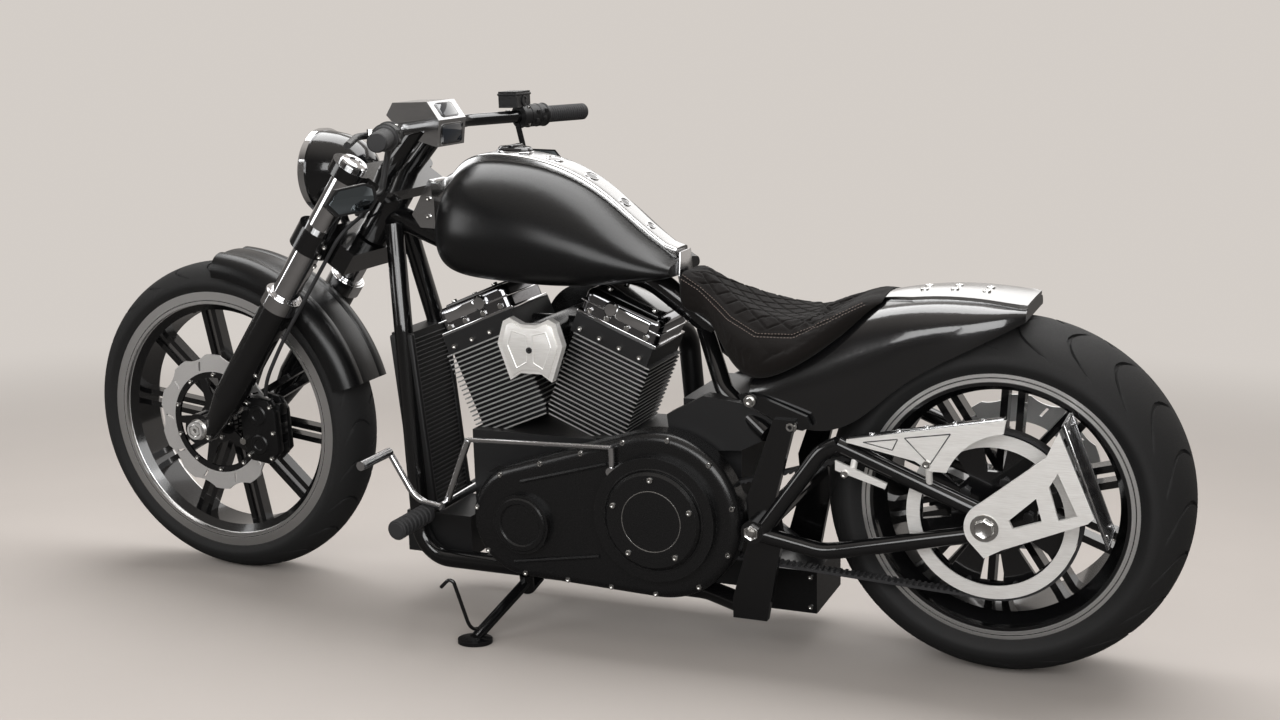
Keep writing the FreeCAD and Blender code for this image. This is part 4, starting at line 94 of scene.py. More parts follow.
def placed(origin, along=ALONG, left=LEFT, up=UP):
    """The matrix from millimetres in a frame of its own to metres on the leaning bike."""
    return Matrix.Translation(origin) @ axes(along, left, up) @ Matrix.Scale(PER_MM, 4)


BIKE = placed(REAR_HUB - UP * REAR_RADIUS * PER_MM)
REAR_WHEEL = placed(REAR_HUB)
FRONT_WHEEL = placed(FRONT_HUB)
FORK = placed(NECK) @ Matrix.Rotation(-RAKE, 4, "Y")
print("wheelbase", round((FRONT_HUB - REAR_HUB).length / PER_MM, 1), "mm")

# %% [markdown]
# The camera comes before any piece, because every decision about detail depends on what it sees.
# Its place was fitted to the two wheels of the photograph on the upright bike, so it goes through
# the same lean as the machine.

# %% Camera
camera = bpy.data.objects.new("camera", bpy.data.cameras.new("camera"))
bpy.context.scene.collection.objects.link(camera)
view_line = (LEFT * -0.899 + ALONG * 0.3828 + UP * -0.2126).normalized()
view_down = (LEFT * 0.2064 + ALONG * -0.0578 + UP * -0.9768).normalized()
view_right = view_down.cross(view_line).normalized()
EYE = Vector((-460, 2755, 1177))
camera.matrix_world = Matrix.Translation(BIKE @ EYE) @ axes(
    view_right, view_right.cross(view_line), -view_line)
camera.data.lens = 44.16
camera.data.sensor_width = 36
camera.data.clip_end = 200
bpy.context.scene.camera = camera

# %% [markdown]
# The studio is a pale floor that runs out to the horizon and a pale world. Black paint shows
# little but what it mirrors, so the world has two faces: the camera sees it pale, while in
# reflections it is dark low down and bright overhead. Broad lamps overhead and on the left give the
# tank and the covers their soft highlights, and weaker ones open up the shadows. The first thing
# here is a small function that makes a shader node and feeds it, which every material uses too.

# %% Studio
scene = bpy.context.scene
scene.view_settings.view_transform = "Standard"
world = bpy.data.worlds.new("studio")
scene.world = world
world.use_nodes = True
tree = world.node_tree
sky = tree.nodes["Background"]
PALE = (1.0, 0.935, 0.875, 1)
PALE_LEVEL = 0.655
sky.inputs["Color"].default_value = PALE


def node(tree, kind, links=(), **settings):
    """A node with its settings, and its inputs fed by links of (socket, what feeds it)."""
    item = tree.nodes.new("ShaderNode" + kind)
    for key, value in settings.items():
        setattr(item, key, value)
    for socket, source in links:
        if hasattr(source, "links"):
            tree.links.new(source, item.inputs[socket])
        else:
            item.inputs[socket].default_value = source
    return item


def remap(tree, value, low, high, to_low=0.0, to_high=1.0, curve="LINEAR"):
    """A value carried from one range to another."""
    return node(tree, "MapRange", [("Value", value), ("From Min", low), ("From Max", high),
                                   ("To Min", to_low), ("To Max", to_high)],
                interpolation_type=curve).outputs[0]


def sums(tree, operation, first, last=0.0, **settings):
    """The result of one sum with two values."""
    return node(tree, "Math", [(0, first), (1, last)], operation=operation,
                **settings).outputs[0]


def arrows(tree, operation, first, last=(0, 0, 0)):
    """The result of one sum with two vectors: a number or a vector."""
    item = node(tree, "VectorMath", [(0, first), (1, last)], operation=operation)
    return item.outputs["Value" if operation in ("DOT_PRODUCT", "LENGTH") else "Vector"]


def blend(tree, share, first, last):
    """Two values or two colours mixed. The Mix node keeps sockets for each kind of data."""
    kind, at = ("RGBA", 6) if isinstance(last, (tuple, list)) else ("FLOAT", 2)
    item = node(tree, "Mix", [(0, share), (at, first), (at + 1, last)], data_type=kind)
    return item.outputs[2 if at == 6 else 0]


path = node(tree, "LightPath")
way = node(tree, "TexCoord")
parts = node(tree, "SeparateXYZ", [(0, way.outputs["Generated"])])
high = remap(tree, parts.outputs["Z"], 0.40, 1.0, 0.10, 0.60, "SMOOTHSTEP")
behind = remap(tree, parts.outputs["Y"], -0.1, -0.7, 0.0, 0.5)
mirrored = sums(tree, "MAXIMUM", high, behind)
seen = sums(tree, "MAXIMUM", path.outputs["Is Camera Ray"], path.outputs["Is Transmission Ray"])
soft = blend(tree, path.outputs["Is Glossy Ray"], 0.34, mirrored)
shown = blend(tree, seen, soft, PALE_LEVEL)
tree.links.new(shown, sky.inputs["Strength"])


def lamp(name, at, aim, size, watts):
    """A soft rectangular lamp that looks at a point."""
    data = bpy.data.lights.new(name, "AREA")
    data.shape = "RECTANGLE"
    data.size, data.size_y = size
    data.energy = watts
    item = bpy.data.objects.new(name, data)
    scene.collection.objects.link(item)
    item.location = at
    item.rotation_mode = "QUATERNION"
    item.rotation_quaternion = (Vector(aim) - Vector(at)).to_track_quat("-Z", "Y")


lamp("lamp_over", (0.0, -0.75, 2.9), (0, 0.0, 0.5), (4.6, 1.6), 112)
lamp("lamp_fender", (0.05, 3.0, 1.6), (-0.76, 0.1, 0.63), (1.5, 1.0), 22)
lamp("lamp_left", (-1.9, 3.4, 1.5), (-0.1, 0, 0.5), (2.6, 2.0), 84)
lamp("lamp_front", (3.4, 2.2, 1.6), (0.4, 0, 0.5), (1.8, 1.8), 34)
lamp("lamp_right", (0.2, -3.4, 2.4), (0, 0, 0.4), (4.0, 1.6), 26)

# %% [markdown]
# Every finish needs some unevenness at the right scale, or it looks like a render. A node group is
# a recipe that many materials share: this one gives a fine noise as a value, and the same noise as
# a bump. A stretch of unequal numbers turns the specks into the streaks of brushed metal.

# %% Grain
def group(name, inputs, outputs):
    """A shader node group with plain number, vector or colour sockets."""
    tree = bpy.data.node_groups.new(name, "ShaderNodeTree")
    for title, kind, value in inputs:
        socket = tree.interface.new_socket(title, in_out="INPUT", socket_type="NodeSocket" + kind)
        socket.default_value = value
    for title, kind in outputs:
        tree.interface.new_socket(title, in_out="OUTPUT", socket_type="NodeSocket" + kind)
    return tree, tree.nodes.new("NodeGroupInput"), tree.nodes.new("NodeGroupOutput")


grain, held, given = group(
    "grain", [("Scale", "Float", 200.0), ("Stretch", "Vector", (1, 1, 1)), ("Depth", "Float", 0.1)],
    [("Value", "Float"), ("Normal", "Vector")])
where = node(grain, "TexCoord")
stretched = arrows(grain, "MULTIPLY", where.outputs["Object"], held.outputs["Stretch"])
specks = node(grain, "TexNoise", [("Vector", stretched), ("Scale", held.outputs["Scale"]),
                                  ("Detail", 4.0), ("Roughness", 0.6)])
relief = node(grain, "Bump", [("Strength", held.outputs["Depth"]), ("Distance", 0.001),
                              ("Height", specks.outputs["Fac"])])
grain.links.new(specks.outputs["Fac"], given.inputs["Value"])
grain.links.new(relief.outputs["Normal"], given.inputs["Normal"])
print("grain has", len(grain.nodes), "nodes")

# %% [markdown]
# Paint wears first along its edges. The Bevel node gives the normal that a rounded edge would
# have, so the difference from the true normal is a mask of the edges alone. Dust is the other
# sign of use: it settles in soft patches on what faces up.

# %% Wear and dust
worn, held, given = group("worn_edge", [("Radius", "Float", 0.0015), ("Patches", "Float", 60.0)],
                          [("Mask", "Float")])
rounded = node(worn, "Bevel", [("Radius", held.outputs["Radius"])], samples=3)
true = node(worn, "NewGeometry")
same = arrows(worn, "DOT_PRODUCT", rounded.outputs[0], true.outputs["Normal"])
edge = remap(worn, same, 0.995, 0.86)
where = node(worn, "TexCoord")
patch = node(worn, "TexNoise", [("Vector", where.outputs["Object"]),
                                ("Scale", held.outputs["Patches"]), ("Detail", 3.0)])
broken = remap(worn, patch.outputs["Fac"], 0.40, 0.62)
worn.links.new(sums(worn, "MULTIPLY", edge, broken), given.inputs["Mask"])

dust, held, given = group("dust", [("Amount", "Float", 0.1)], [("Mask", "Float")])
facing = node(dust, "NewGeometry")
upward = node(dust, "SeparateXYZ", [(0, facing.outputs["Normal"])])
where = node(dust, "TexCoord")
drift = node(dust, "TexNoise", [("Vector", where.outputs["Object"]), ("Scale", 9.0),
                                ("Detail", 6.0), ("Roughness", 0.7)])
settled = remap(dust, upward.outputs["Z"], 0.1, 1.0)
thin = sums(dust, "MULTIPLY", settled, drift.outputs["Fac"])
level = sums(dust, "MULTIPLY", thin, held.outputs["Amount"])
dust.links.new(level, given.inputs["Mask"])
print("edge wear and dust are ready")

# %% [markdown]
# One function turns these recipes into a finish. Base colour and roughness wander a little with
# the grain, the edges show a second colour, and dust lightens the top. What is the same all over
# a surface, such as a clear coat, stays a plain number on the shader.

# %% Finishes
def finish(name, colour, rough, metal=0.0, scale=220.0, depth=0.1, stretch=(1, 1, 1), swing=0.25,
           edge=None, edge_size=0.0012, dusty=0.0, coat=0.0, specular=0.5):
    """A material from the shared groups. swing is how far colour and roughness wander."""
    made = bpy.data.materials.new(name)
    made.use_nodes = True
    tree = made.node_tree
    shader = tree.nodes["Principled BSDF"]
    speckle = node(tree, "Group", [("Scale", scale), ("Stretch", stretch), ("Depth", depth)],
                   node_tree=grain)
    tree.links.new(speckle.outputs["Normal"], shader.inputs["Normal"])
    low = [c * (1 - swing) for c in colour] + [1]
    high = [min(1, c * (1 + swing)) for c in colour] + [1]
    top = blend(tree, speckle.outputs["Value"], low, high)
    shine = remap(tree, speckle.outputs["Value"], 0.3, 0.7, rough * (1 - swing),
                  min(1, rough * (1 + swing)))
    if edge:
        wear = node(tree, "Group", [("Radius", edge_size)], node_tree=worn)
        top = blend(tree, wear.outputs["Mask"], top, (*edge, 1))
    if dusty:
        film = node(tree, "Group", [("Amount", dusty)], node_tree=dust)
        top = blend(tree, film.outputs["Mask"], top, DUST_COLOUR)
    tree.links.new(top, shader.inputs["Base Color"])
    tree.links.new(shine, shader.inputs["Roughness"])
    for socket, value in (("Metallic", metal), ("Coat Weight", coat), ("Coat Roughness", 0.06),
                          ("Specular IOR Level", specular)):
        shader.inputs[socket].default_value = value
    return made


GREY = (0.30, 0.30, 0.30)
DUST_COLOUR = (0.42, 0.39, 0.36, 1)
satin_black = finish("satin_black", (0.0045, 0.0045, 0.0048), 0.29, scale=900, depth=0.04,
                     swing=0.10, edge=(0.02, 0.02, 0.021), specular=0.36)
gloss_black = finish("gloss_black", (0.004, 0.004, 0.0043), 0.15, scale=340, depth=0.03, swing=0.2,
                     edge=(0.025, 0.025, 0.027), coat=0.5, specular=0.5)
fender_black = finish("fender_black", (0.004, 0.004, 0.0043), 0.20, scale=340, depth=0.02,
                      swing=0.15, edge=(0.02, 0.02, 0.021), coat=1.0, specular=0.5)
engine_black = finish("engine_black", (0.007, 0.007, 0.0075), 0.46, scale=1300, depth=0.45,
                      swing=0.25, edge=(0.06, 0.06, 0.06), dusty=0.02, specular=0.4)
cover_black = finish("cover_black", (0.005, 0.005, 0.0053), 0.27, scale=700, depth=0.07, swing=0.15,
                     edge=(0.03, 0.03, 0.03), specular=0.5)
chrome = finish("chrome", (0.80, 0.80, 0.81), 0.07, metal=1, scale=60, depth=0.004, swing=0.08)
polished = finish("polished_aluminium", (0.72, 0.72, 0.73), 0.17, metal=1, scale=500, depth=0.03,
                  stretch=(0.06, 1, 1), swing=0.12, edge=(0.92, 0.92, 0.92))
brushed = finish("brushed_aluminium", (0.88, 0.855, 0.82), 0.42, metal=0.6, scale=800, depth=0.08,
                 stretch=(0.05, 1, 1), swing=0.2, edge=(0.9, 0.9, 0.9))
ground = finish("ground_steel", (0.80, 0.79, 0.78), 0.40, metal=0.8, scale=1500, depth=0.12,
                stretch=(1, 0.2, 1), swing=0.25)
bolt_steel = finish("bolt_steel", (0.66, 0.65, 0.63), 0.22, metal=1, scale=900, depth=0.05,
                    swing=0.2, edge=(0.85, 0.85, 0.85))
dark_bolt = finish("dark_bolt", (0.03, 0.03, 0.031), 0.35, metal=0.6, scale=900, depth=0.06,
                   swing=0.25, edge=GREY)
tyre_rubber = finish("tyre_rubber", (0.011, 0.011, 0.0113), 0.72, scale=900, depth=0.30, swing=0.3,
                     dusty=0.02, specular=0.3)
soft_rubber = finish("soft_rubber", (0.022, 0.022, 0.0235), 0.62, scale=1300, depth=0.25,
                     swing=0.25, dusty=0.02, specular=0.35)
plastic = finish("dark_plastic", (0.009, 0.009, 0.0095), 0.42, scale=1600, depth=0.22, swing=0.2,
                 edge=(0.035, 0.035, 0.035), dusty=0.02, specular=0.4)
bare_plate = finish("bare_plate", (0.012, 0.012, 0.013), 0.24, scale=300, depth=0.04, swing=0.15,
                    edge=GREY, specular=0.45)
silvered = finish("silvered_glass", (0.36, 0.42, 0.46), 0.03, metal=1, scale=20, depth=0.002,
                  swing=0.03)
floor_paint = finish("studio_floor", (0.465, 0.430, 0.403), 0.62, scale=2.2, depth=0.02,
                     swing=0.045, specular=0.2)
spine_metal = finish("spine_metal", (0.50, 0.50, 0.50), 0.20, metal=1, scale=420, depth=0.03,
                     stretch=(0.06, 1, 1), swing=0.12, edge=(0.9, 0.9, 0.9), edge_size=0.002)
black_chrome = finish("black_chrome", (0.26, 0.26, 0.27), 0.12, metal=1, scale=80, depth=0.006,
                      swing=0.1, edge=(0.6, 0.6, 0.6))

# far off, the floor turns into the colour of the world, so that no horizon shows, and in
# reflections it is darker than it is, which keeps black paint black
tree = floor_paint.node_tree
at = node(tree, "NewGeometry")
away = arrows(tree, "LENGTH", at.outputs["Position"])
far = remap(tree, away, 1.3, 5.0, curve="SMOOTHSTEP")
glow = node(tree, "Emission", [("Color", PALE), ("Strength", PALE_LEVEL)])
both = node(tree, "MixShader", [(0, far)])
tree.links.new(tree.nodes["Principled BSDF"].outputs[0], both.inputs[1])
tree.links.new(glow.outputs[0], both.inputs[2])
ray = node(tree, "LightPath")
dim = sums(tree, "MULTIPLY", ray.outputs["Is Glossy Ray"], 0.85)
shade = node(tree, "BsdfDiffuse", [("Color", (0.03, 0.03, 0.03, 1))])
seen = node(tree, "MixShader", [(0, dim)])
tree.links.new(both.outputs[0], seen.inputs[1])
tree.links.new(shade.outputs[0], seen.inputs[2])
tree.links.new(seen.outputs[0], tree.nodes["Material Output"].inputs["Surface"])
print(len(bpy.data.materials), "finishes so far")

floor_mesh = bmesh.new()
bmesh.ops.create_circle(floor_mesh, cap_ends=True, radius=60, segments=96)
floor_data = bpy.data.meshes.new("floor")
floor_mesh.to_mesh(floor_data)
floor_mesh.free()
floor_data.materials.append(floor_paint)
floor = bpy.data.objects.new("floor", floor_data)
scene.collection.objects.link(floor)
floor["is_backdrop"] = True

# %% [markdown]
# Some finishes follow the shape of the machine. A cast rim is black, but its lip was turned on a
# lathe, so it is bright beyond a certain radius. Fins are black with a bright milled edge, which
# is every face that looks away from the cylinder's own line. Both masks come from the surface
# position and normal in the frame, so they stay true when the wheel turns.

# %% Finishes that follow a form
def two_tone(name, base, bright, mask, rough=0.34):
    """A copy of a finish that turns to bright metal where mask(tree) gives 1."""
    made = base.copy()
    made.name = name
    tree = made.node_tree
    shader = tree.nodes["Principled BSDF"]
    share = mask(tree)
    for socket, value in (("Base Color", (*bright, 1)), ("Metallic", 1.0), ("Roughness", rough)):
        plug = shader.inputs[socket]
        before = plug.links[0].from_socket if plug.links else plug.default_value
        tree.links.new(blend(tree, share, before, value), plug)
    return made


def beyond(hub, inner, outer=None, soft=0.0006):
    """A mask of what lies further than inner, and nearer than outer, from a wheel's axle."""
    def mask(tree):
        at = node(tree, "TexCoord")
        arm = arrows(tree, "SUBTRACT", at.outputs["Object"], tuple(hub))
        side = arrows(tree, "DOT_PRODUCT", arm, tuple(LEFT))
        shift = node(tree, "VectorMath", [(0, tuple(LEFT)), ("Scale", side)], operation="SCALE")
        length = arrows(tree, "LENGTH", arrows(tree, "SUBTRACT", arm, shift.outputs[0]))
        rise = remap(tree, length, inner - soft, inner + soft)
        if outer is None:
            return rise
        return sums(tree, "MULTIPLY", rise, remap(tree, length, outer + soft, outer - soft))
    return mask


def fin_edges(tree):
    """A mask of the faces that look away from the line of the nearer cylinder."""
    at = node(tree, "TexCoord")
    split = node(tree, "SeparateXYZ", [(0, at.outputs["Object"])])
    between = BIKE @ Vector((CRANK.x, 0, 0))
    front = sums(tree, "GREATER_THAN", split.outputs["X"], between.x)
    face = node(tree, "NewGeometry")
    hits = []
    for lean in (math.radians(-CYLINDER_LEAN), math.radians(CYLINDER_LEAN)):
        line = ALONG * math.sin(lean) + UP * math.cos(lean)
        along = arrows(tree, "DOT_PRODUCT", face.outputs["Normal"], tuple(line))
        hits.append(sums(tree, "LESS_THAN", sums(tree, "ABSOLUTE", along), 0.3))
    return blend(tree, front, *hits)


def lip(hub, inner, groove):
    """A mask of a rim's turned lip, with one dark groove in it."""
    def mask(tree):
        bright = beyond(hub, inner)(tree)
        dark = beyond(hub, groove, groove + 0.0026)(tree)
        return sums(tree, "SUBTRACT", bright, dark, use_clamp=True)
    return mask


TURNED = (0.82, 0.81, 0.80)
front_rim_paint = two_tone("front_rim_paint", gloss_black, TURNED, lip(FRONT_HUB, 0.2570, 0.2640))
rear_rim_paint = two_tone("rear_rim_paint", gloss_black, TURNED, lip(REAR_HUB, 0.2265, 0.2325))
fin_paint = two_tone("fin_paint", engine_black, (0.66, 0.66, 0.65), fin_edges, rough=0.38)
print("two-tone finishes:", front_rim_paint.name, rear_rim_paint.name, fin_paint.name)

# %% [markdown]
# The rigid solids of the CAD model are right as they are, so each only gets its finish here. The
# ones that a better piece will stand for get one as well, so that nothing is ever left plain.

# %% Dress the solids
FINISH_OF = {
    satin_black: "fuel_tank front_fender rear_caliper front_caliper exhaust",
    fender_black: "rear_fender",
    gloss_black: "fork_clamps fork_sliders headlight_shell handlebar backbone cradle_tubes "
                 "rear_frame swingarm fender_struts side_stand front_disc_carrier rear_pulley",
    black_chrome: "rocker_covers",
    cover_black: "primary_cover derby_cover air_cleaner cam_cover",
    engine_black: "engine_case cylinder_heads",
    fin_paint: "cylinders",
    chrome: "fork_tubes headlight_ring pushrod_tubes",
    spine_metal: "tank_trim rear_fender_trim",
    polished: "neck_bracket dash fender_brace foot_levers",
    brushed: "belt_guards plate_bracket pulley_ring coil_cover",
    ground: "front_disc rear_disc front_axle rear_axle",
    front_rim_paint: "front_rim",
    rear_rim_paint: "rear_rim",
    tyre_rubber: "front_tyre rear_tyre",
    soft_rubber: "grips drive_belt brake_hose foot_pegs",
    plastic: "oil_cooler chin_cover side_covers bar_controls mirrors",
    bare_plate: "side_plate",
    chrome.copy(): "headlight_lens",
    soft_rubber.copy(): "seat",
}
dressed = 0
for material, names in FINISH_OF.items():
    for name in names.split():
        item = frame["nodes"][name]
        for place in item.material_slots:
            place.material = material
        if not item.material_slots:
            item.data.materials.append(material)
        dressed += 1
print(dressed, "of", len(frame["nodes"]), "solids have a finish")

# %% [markdown]
# New pieces come out of bmesh, Blender's mesh workshop. A few helpers carry most of the work. A
# round part is one outline spun about an axis. A screw is a short spun outline too, with a socket
# sunk into its head. Whatever is made lies in millimetres at the origin, and is carried to its
# place in the mesh itself, so that the object stays unturned at the frame's origin.

# %% Helpers for pieces
def spun(outline_points, steps=64):
    """A solid of revolution about Z from (radius, height) points."""
    made = bmesh.new()
    dots = [made.verts.new((radius, 0, height)) for radius, height in outline_points]
    lines = [made.edges.new(pair) for pair in zip(dots, dots[1:])]
    bmesh.ops.spin(made, geom=dots + lines, axis=(0, 0, 1), cent=(0, 0, 0), angle=math.tau,
                   steps=steps, use_merge=True)
    bmesh.ops.remove_doubles(made, verts=made.verts, dist=0.001)
    bmesh.ops.recalc_face_normals(made, faces=made.faces)
    return made


def add(target, part, matrix=None):
    """Adds one bmesh to another in a place, and frees it."""
    scrap = bpy.data.meshes.new("scrap")
    if matrix is not None:
        part.transform(matrix)
    part.to_mesh(scrap)
    part.free()
    target.from_mesh(scrap)
    bpy.data.meshes.remove(scrap)


def moved(x, y, z):
    """The matrix that only moves a piece."""
    return Matrix.Translation((x, y, z))


def towards(point, direction):
    """The matrix that stands a piece at a point, with its Z along a direction."""
    turn = Vector(direction).to_track_quat("Z", "Y").to_matrix().to_4x4()
    return Matrix.Translation(point) @ turn


def outward(x, y, z, side=1):
    """Stands a piece on the left (1) or the right (-1), facing away from the bike."""
    return towards((x, y * side, z), (0, side, 0))


def screw(radius=5.0, height=4.0, sides=20):
    """A round-headed screw with a sunk socket, standing on its seat."""
    rim = radius * 0.86
    return spun([(radius, -height * 0.6), (radius, height * 0.7), (rim, height),
                 (radius * 0.5, height), (radius * 0.46, height * 0.35), (0, height * 0.35)], sides)


def hexagon(radius, height, bore=0.0):
    """A six-sided nut with a chamfered top and a bore."""
    made = bmesh.new()
    bmesh.ops.create_cone(made, cap_ends=True, segments=6, radius1=radius, radius2=radius,
                          depth=height)
    bmesh.ops.translate(made, verts=made.verts, vec=(0, 0, height / 2))
    rim = [e for e in made.edges if all(v.co.z > height * 0.9 for v in e.verts)]
    bmesh.ops.bevel(made, geom=rim, offset=radius * 0.1, segments=2, profile=0.5,
                    affect="EDGES", material=-1)
    if bore:
        top = max(made.faces, key=lambda f: f.calc_center_median().z)
        bmesh.ops.inset_individual(made, faces=[top], thickness=radius * 0.9 - bore)
        bmesh.ops.translate(made, verts=top.verts, vec=(0, 0, -height * 0.4))
    return made


def rounded_block(size, bevel, segments=2):
    """A box with rounded edges, centred."""
    made = bmesh.new()
    bmesh.ops.create_cube(made, size=1)
    bmesh.ops.scale(made, vec=size, verts=made.verts)
    bmesh.ops.bevel(made, geom=made.edges[:], offset=bevel, segments=segments, profile=0.5,
                    affect="EDGES", material=-1)
    return made


def slab(corners, push, bevel=0.0):
    """A flat plate: a face through points, thickened by a push."""
    made = bmesh.new()
    face = made.faces.new([made.verts.new(corner) for corner in corners])
    grown = bmesh.ops.extrude_face_region(made, geom=[face])
    moved = [item for item in grown["geom"] if isinstance(item, bmesh.types.BMVert)]
    bmesh.ops.translate(made, verts=moved, vec=push)
    bmesh.ops.recalc_face_normals(made, faces=made.faces)
    if bevel:
        bmesh.ops.bevel(made, geom=made.edges[:], offset=bevel, segments=2, profile=0.5,
                        affect="EDGES", material=-1)
    return made


def run(points, radius, sides=12, smooth=True):
    """A round bar along points: a NURBS line with a bevel, made into a mesh."""
    line = bpy.data.curves.new("line", "CURVE")
    line.dimensions = "3D"
    strand = line.splines.new("NURBS" if smooth else "POLY")
    strand.points.add(len(points) - 1)
    for dot, point in zip(strand.points, points):
        dot.co = (*point, 1)
    if smooth:
        strand.order_u = 3
        strand.use_endpoint_u = True
    line.resolution_u = 8
    line.bevel_depth = radius
    line.bevel_resolution = max(1, sides // 4 - 1)
    line.use_fill_caps = True
    holder = bpy.data.objects.new("line", line)
    scrap = bpy.data.meshes.new_from_object(holder)
    made = bmesh.new()
    made.from_mesh(scrap)
    bpy.data.objects.remove(holder)
    bpy.data.curves.remove(line)
    bpy.data.meshes.remove(scrap)
    bmesh.ops.recalc_face_normals(made, faces=made.faces)
    return made


def piece(name, made, body, material, place=BIKE, replaces=(), sharp=32):
    """Finishes a piece: its place goes into the mesh, and it rides on its body."""
    made.transform(place)
    mesh = bpy.data.meshes.new(name)
    made.to_mesh(mesh)
    made.free()
    mesh.materials.append(material)
    mesh.shade_smooth()
    mesh.set_sharp_from_angle(angle=math.radians(sharp))
    item = bpy.data.objects.new(name, mesh)
    scene.collection.objects.link(item)
    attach(item, body)
    if replaces:
        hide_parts(*replaces)
    made_of[name] = sum(len(polygon.vertices) - 2 for polygon in mesh.polygons)


made_of = {}
print("helpers are ready")

# %% [markdown]
# A road tyre is a ring of rubber with a round crown and long sweeping grooves. The mesh starts as
# a flat grid, which is rolled into the ring by moving its points. The trick that keeps the groove
# walls crisp is to shear the grid first, so that its columns already run along the grooves: then
# a groove is only a few columns pushed inwards.

# %% Tyres
SHOULDER = 0.70
SHOULDER_WIDTH = 0.93
CROWN_ANGLE = math.radians(66)


def crown(width, radius, drop, bead_half, bead_radius, share):
    """A point of the tyre's outline, from the left bead (0) over the crown to the right (1)."""
    side = 1 if share < 0.5 else -1
    reach = abs(share - 0.5) * 2
    half = width / 2
    if reach < SHOULDER:
        angle = reach / SHOULDER * CROWN_ANGLE
        span = half * SHOULDER_WIDTH / math.sin(CROWN_ANGLE)
        fall = drop / (1 - math.cos(CROWN_ANGLE))
        return side * span * math.sin(angle), radius - fall * (1 - math.cos(angle))
    k = (reach - SHOULDER) / (1 - SHOULDER)
    start = (half * SHOULDER_WIDTH, radius - drop)
    middle = (half * 1.12, (radius - drop + bead_radius) / 2 + 3)
    y = (1 - k) ** 2 * start[0] + 2 * k * (1 - k) * middle[0] + k * k * bead_half
    r = (1 - k) ** 2 * start[1] + 2 * k * (1 - k) * middle[1] + k * k * bead_radius
    return side * min(y, half), r


def tyre_mesh(width, radius, drop, bead_half, bead_radius, pitches, sweep, depth, groove):
    """A tyre about the wheel's Y axis with curved grooves on both sides."""
    offsets = [0, 0.9, groove - 0.9, groove]
    pitch_length = math.tau * radius / pitches
    rest = (pitch_length / 2 - groove) / 4
    half_pitch = offsets + [groove + rest * k for k in (1, 2, 3)]
    columns = half_pitch + [pitch_length / 2 + step for step in half_pitch]
    rings = [0.0, 0.03, 0.06, 0.075, 0.09, 0.12, 0.14, 0.17, 0.175, 0.21, 0.25, 0.29, 0.33, 0.37,
             0.41, 0.44, 0.465, 0.478, 0.484]
    rings = rings + [0.5] + [1 - ring for ring in reversed(rings)]
    made = bmesh.new()
    across, around = len(rings) - 1, len(columns) * pitches
    bmesh.ops.create_grid(made, x_segments=around, y_segments=across, size=0.5)
    for dot in made.verts:
        column = round((dot.co.x + 0.5) * around) % around
        share = rings[round((dot.co.y + 0.5) * across)]
        pitch, step = divmod(column, len(columns))
        reach = abs(share - 0.5) * 2
        bend = sweep * (reach ** 1.7) - sweep * 0.35 * math.sin(reach * math.pi)
        angle = (pitch * pitch_length + columns[step] + bend) / radius
        y, r = crown(width, radius, drop, bead_half, bead_radius, share)
        in_groove = step in ((1, 2) if share < 0.5 else (8, 9))
        fade = min(1, max(0, (reach - 0.03) * 30)) * min(1, max(0, (0.655 - reach) * 40))
        if in_groove and fade > 0:
            r -= depth * fade
        if 0.075 <= min(share, 1 - share) <= 0.09:
            y += 0.8 if y > 0 else -0.8
        dot.co = (r * math.cos(angle), y, r * math.sin(angle))
    bmesh.ops.remove_doubles(made, verts=made.verts, dist=0.01)
    bmesh.ops.recalc_face_normals(made, faces=made.faces)
    return made


tyre_front = tyre_mesh(130, FRONT_RADIUS, 32, 50.5, 279, 24, 150, 4.5, 6.5)
tyre_rear = tyre_mesh(240, REAR_RADIUS, 45, 101, 237, 22, 190, 5.0, 8.0)
for name, made, body, place in (
        ("front_tyre_tread", tyre_front, "front_wheel", FRONT_WHEEL),
        ("rear_tyre_tread", tyre_rear, "rear_wheel", REAR_WHEEL)):
    outermost = max(made.faces, key=lambda face: face.calc_center_median().length)
    if outermost.normal.dot(outermost.calc_center_median()) < 0:
        bmesh.ops.reverse_faces(made, faces=made.faces)
    piece(name, made, body, tyre_rubber, place, (name.replace("_tread", ""),), sharp=50)
    print(name, made_of[name], "triangles")

# %% [markdown]
# The wheels and brakes come from the CAD model. What is missing is what holds them together:
# rows of screws round the front disc and the pulley, and the valve in the front rim. One function
# stands screws in a ring, so each row is a line that says where and how many.

# %% Wheel fittings
def ring_of(made, part, count, radius, level, first=0.0, side=1, centre=Vector()):
    """Stands copies of a part in a ring about a centre, facing out of one side."""
    for index in range(count):
        angle = math.radians(first + 360 / count * index)
        add(made, part(), outward(centre.x + radius * math.cos(angle), level,
                                  centre.z + radius * math.sin(angle), side))


def washer(inner, outer, wall, bevel=0.6, steps=64):
    """A flat ring with softened edges, lying on z = 0."""
    return spun([(inner, 0), (inner, wall - bevel), (inner + bevel, wall), (outer - bevel, wall),
                 (outer, wall - bevel), (outer, 0), (inner, 0)], steps)


fittings = bmesh.new()
ring_of(fittings, lambda: screw(5.5, 4.5), 5, 34, 71, first=36)
ring_of(fittings, lambda: screw(5.0, 4.0), 10, 105.5, 71, first=18)
VALVE_ANGLE = 1.2
valve = Vector((math.cos(VALVE_ANGLE), 0, math.sin(VALVE_ANGLE)))
add(fittings, run([valve * 262, valve * 240 + Vector((0, 6, 0))], 3.6, smooth=False))
piece("front_disc_screws", fittings, "front_wheel", bolt_steel, FRONT_WHEEL)

fittings = bmesh.new()
ring_of(fittings, lambda: hexagon(9.5, 8), 5, 60, 132, first=36)
ring_of(fittings, lambda: screw(5.0, 4.0), 10, 130.5, 132, first=0)
piece("pulley_screws", fittings, "rear_wheel", dark_bolt, REAR_WHEEL)
print("screws stand on the wheels")

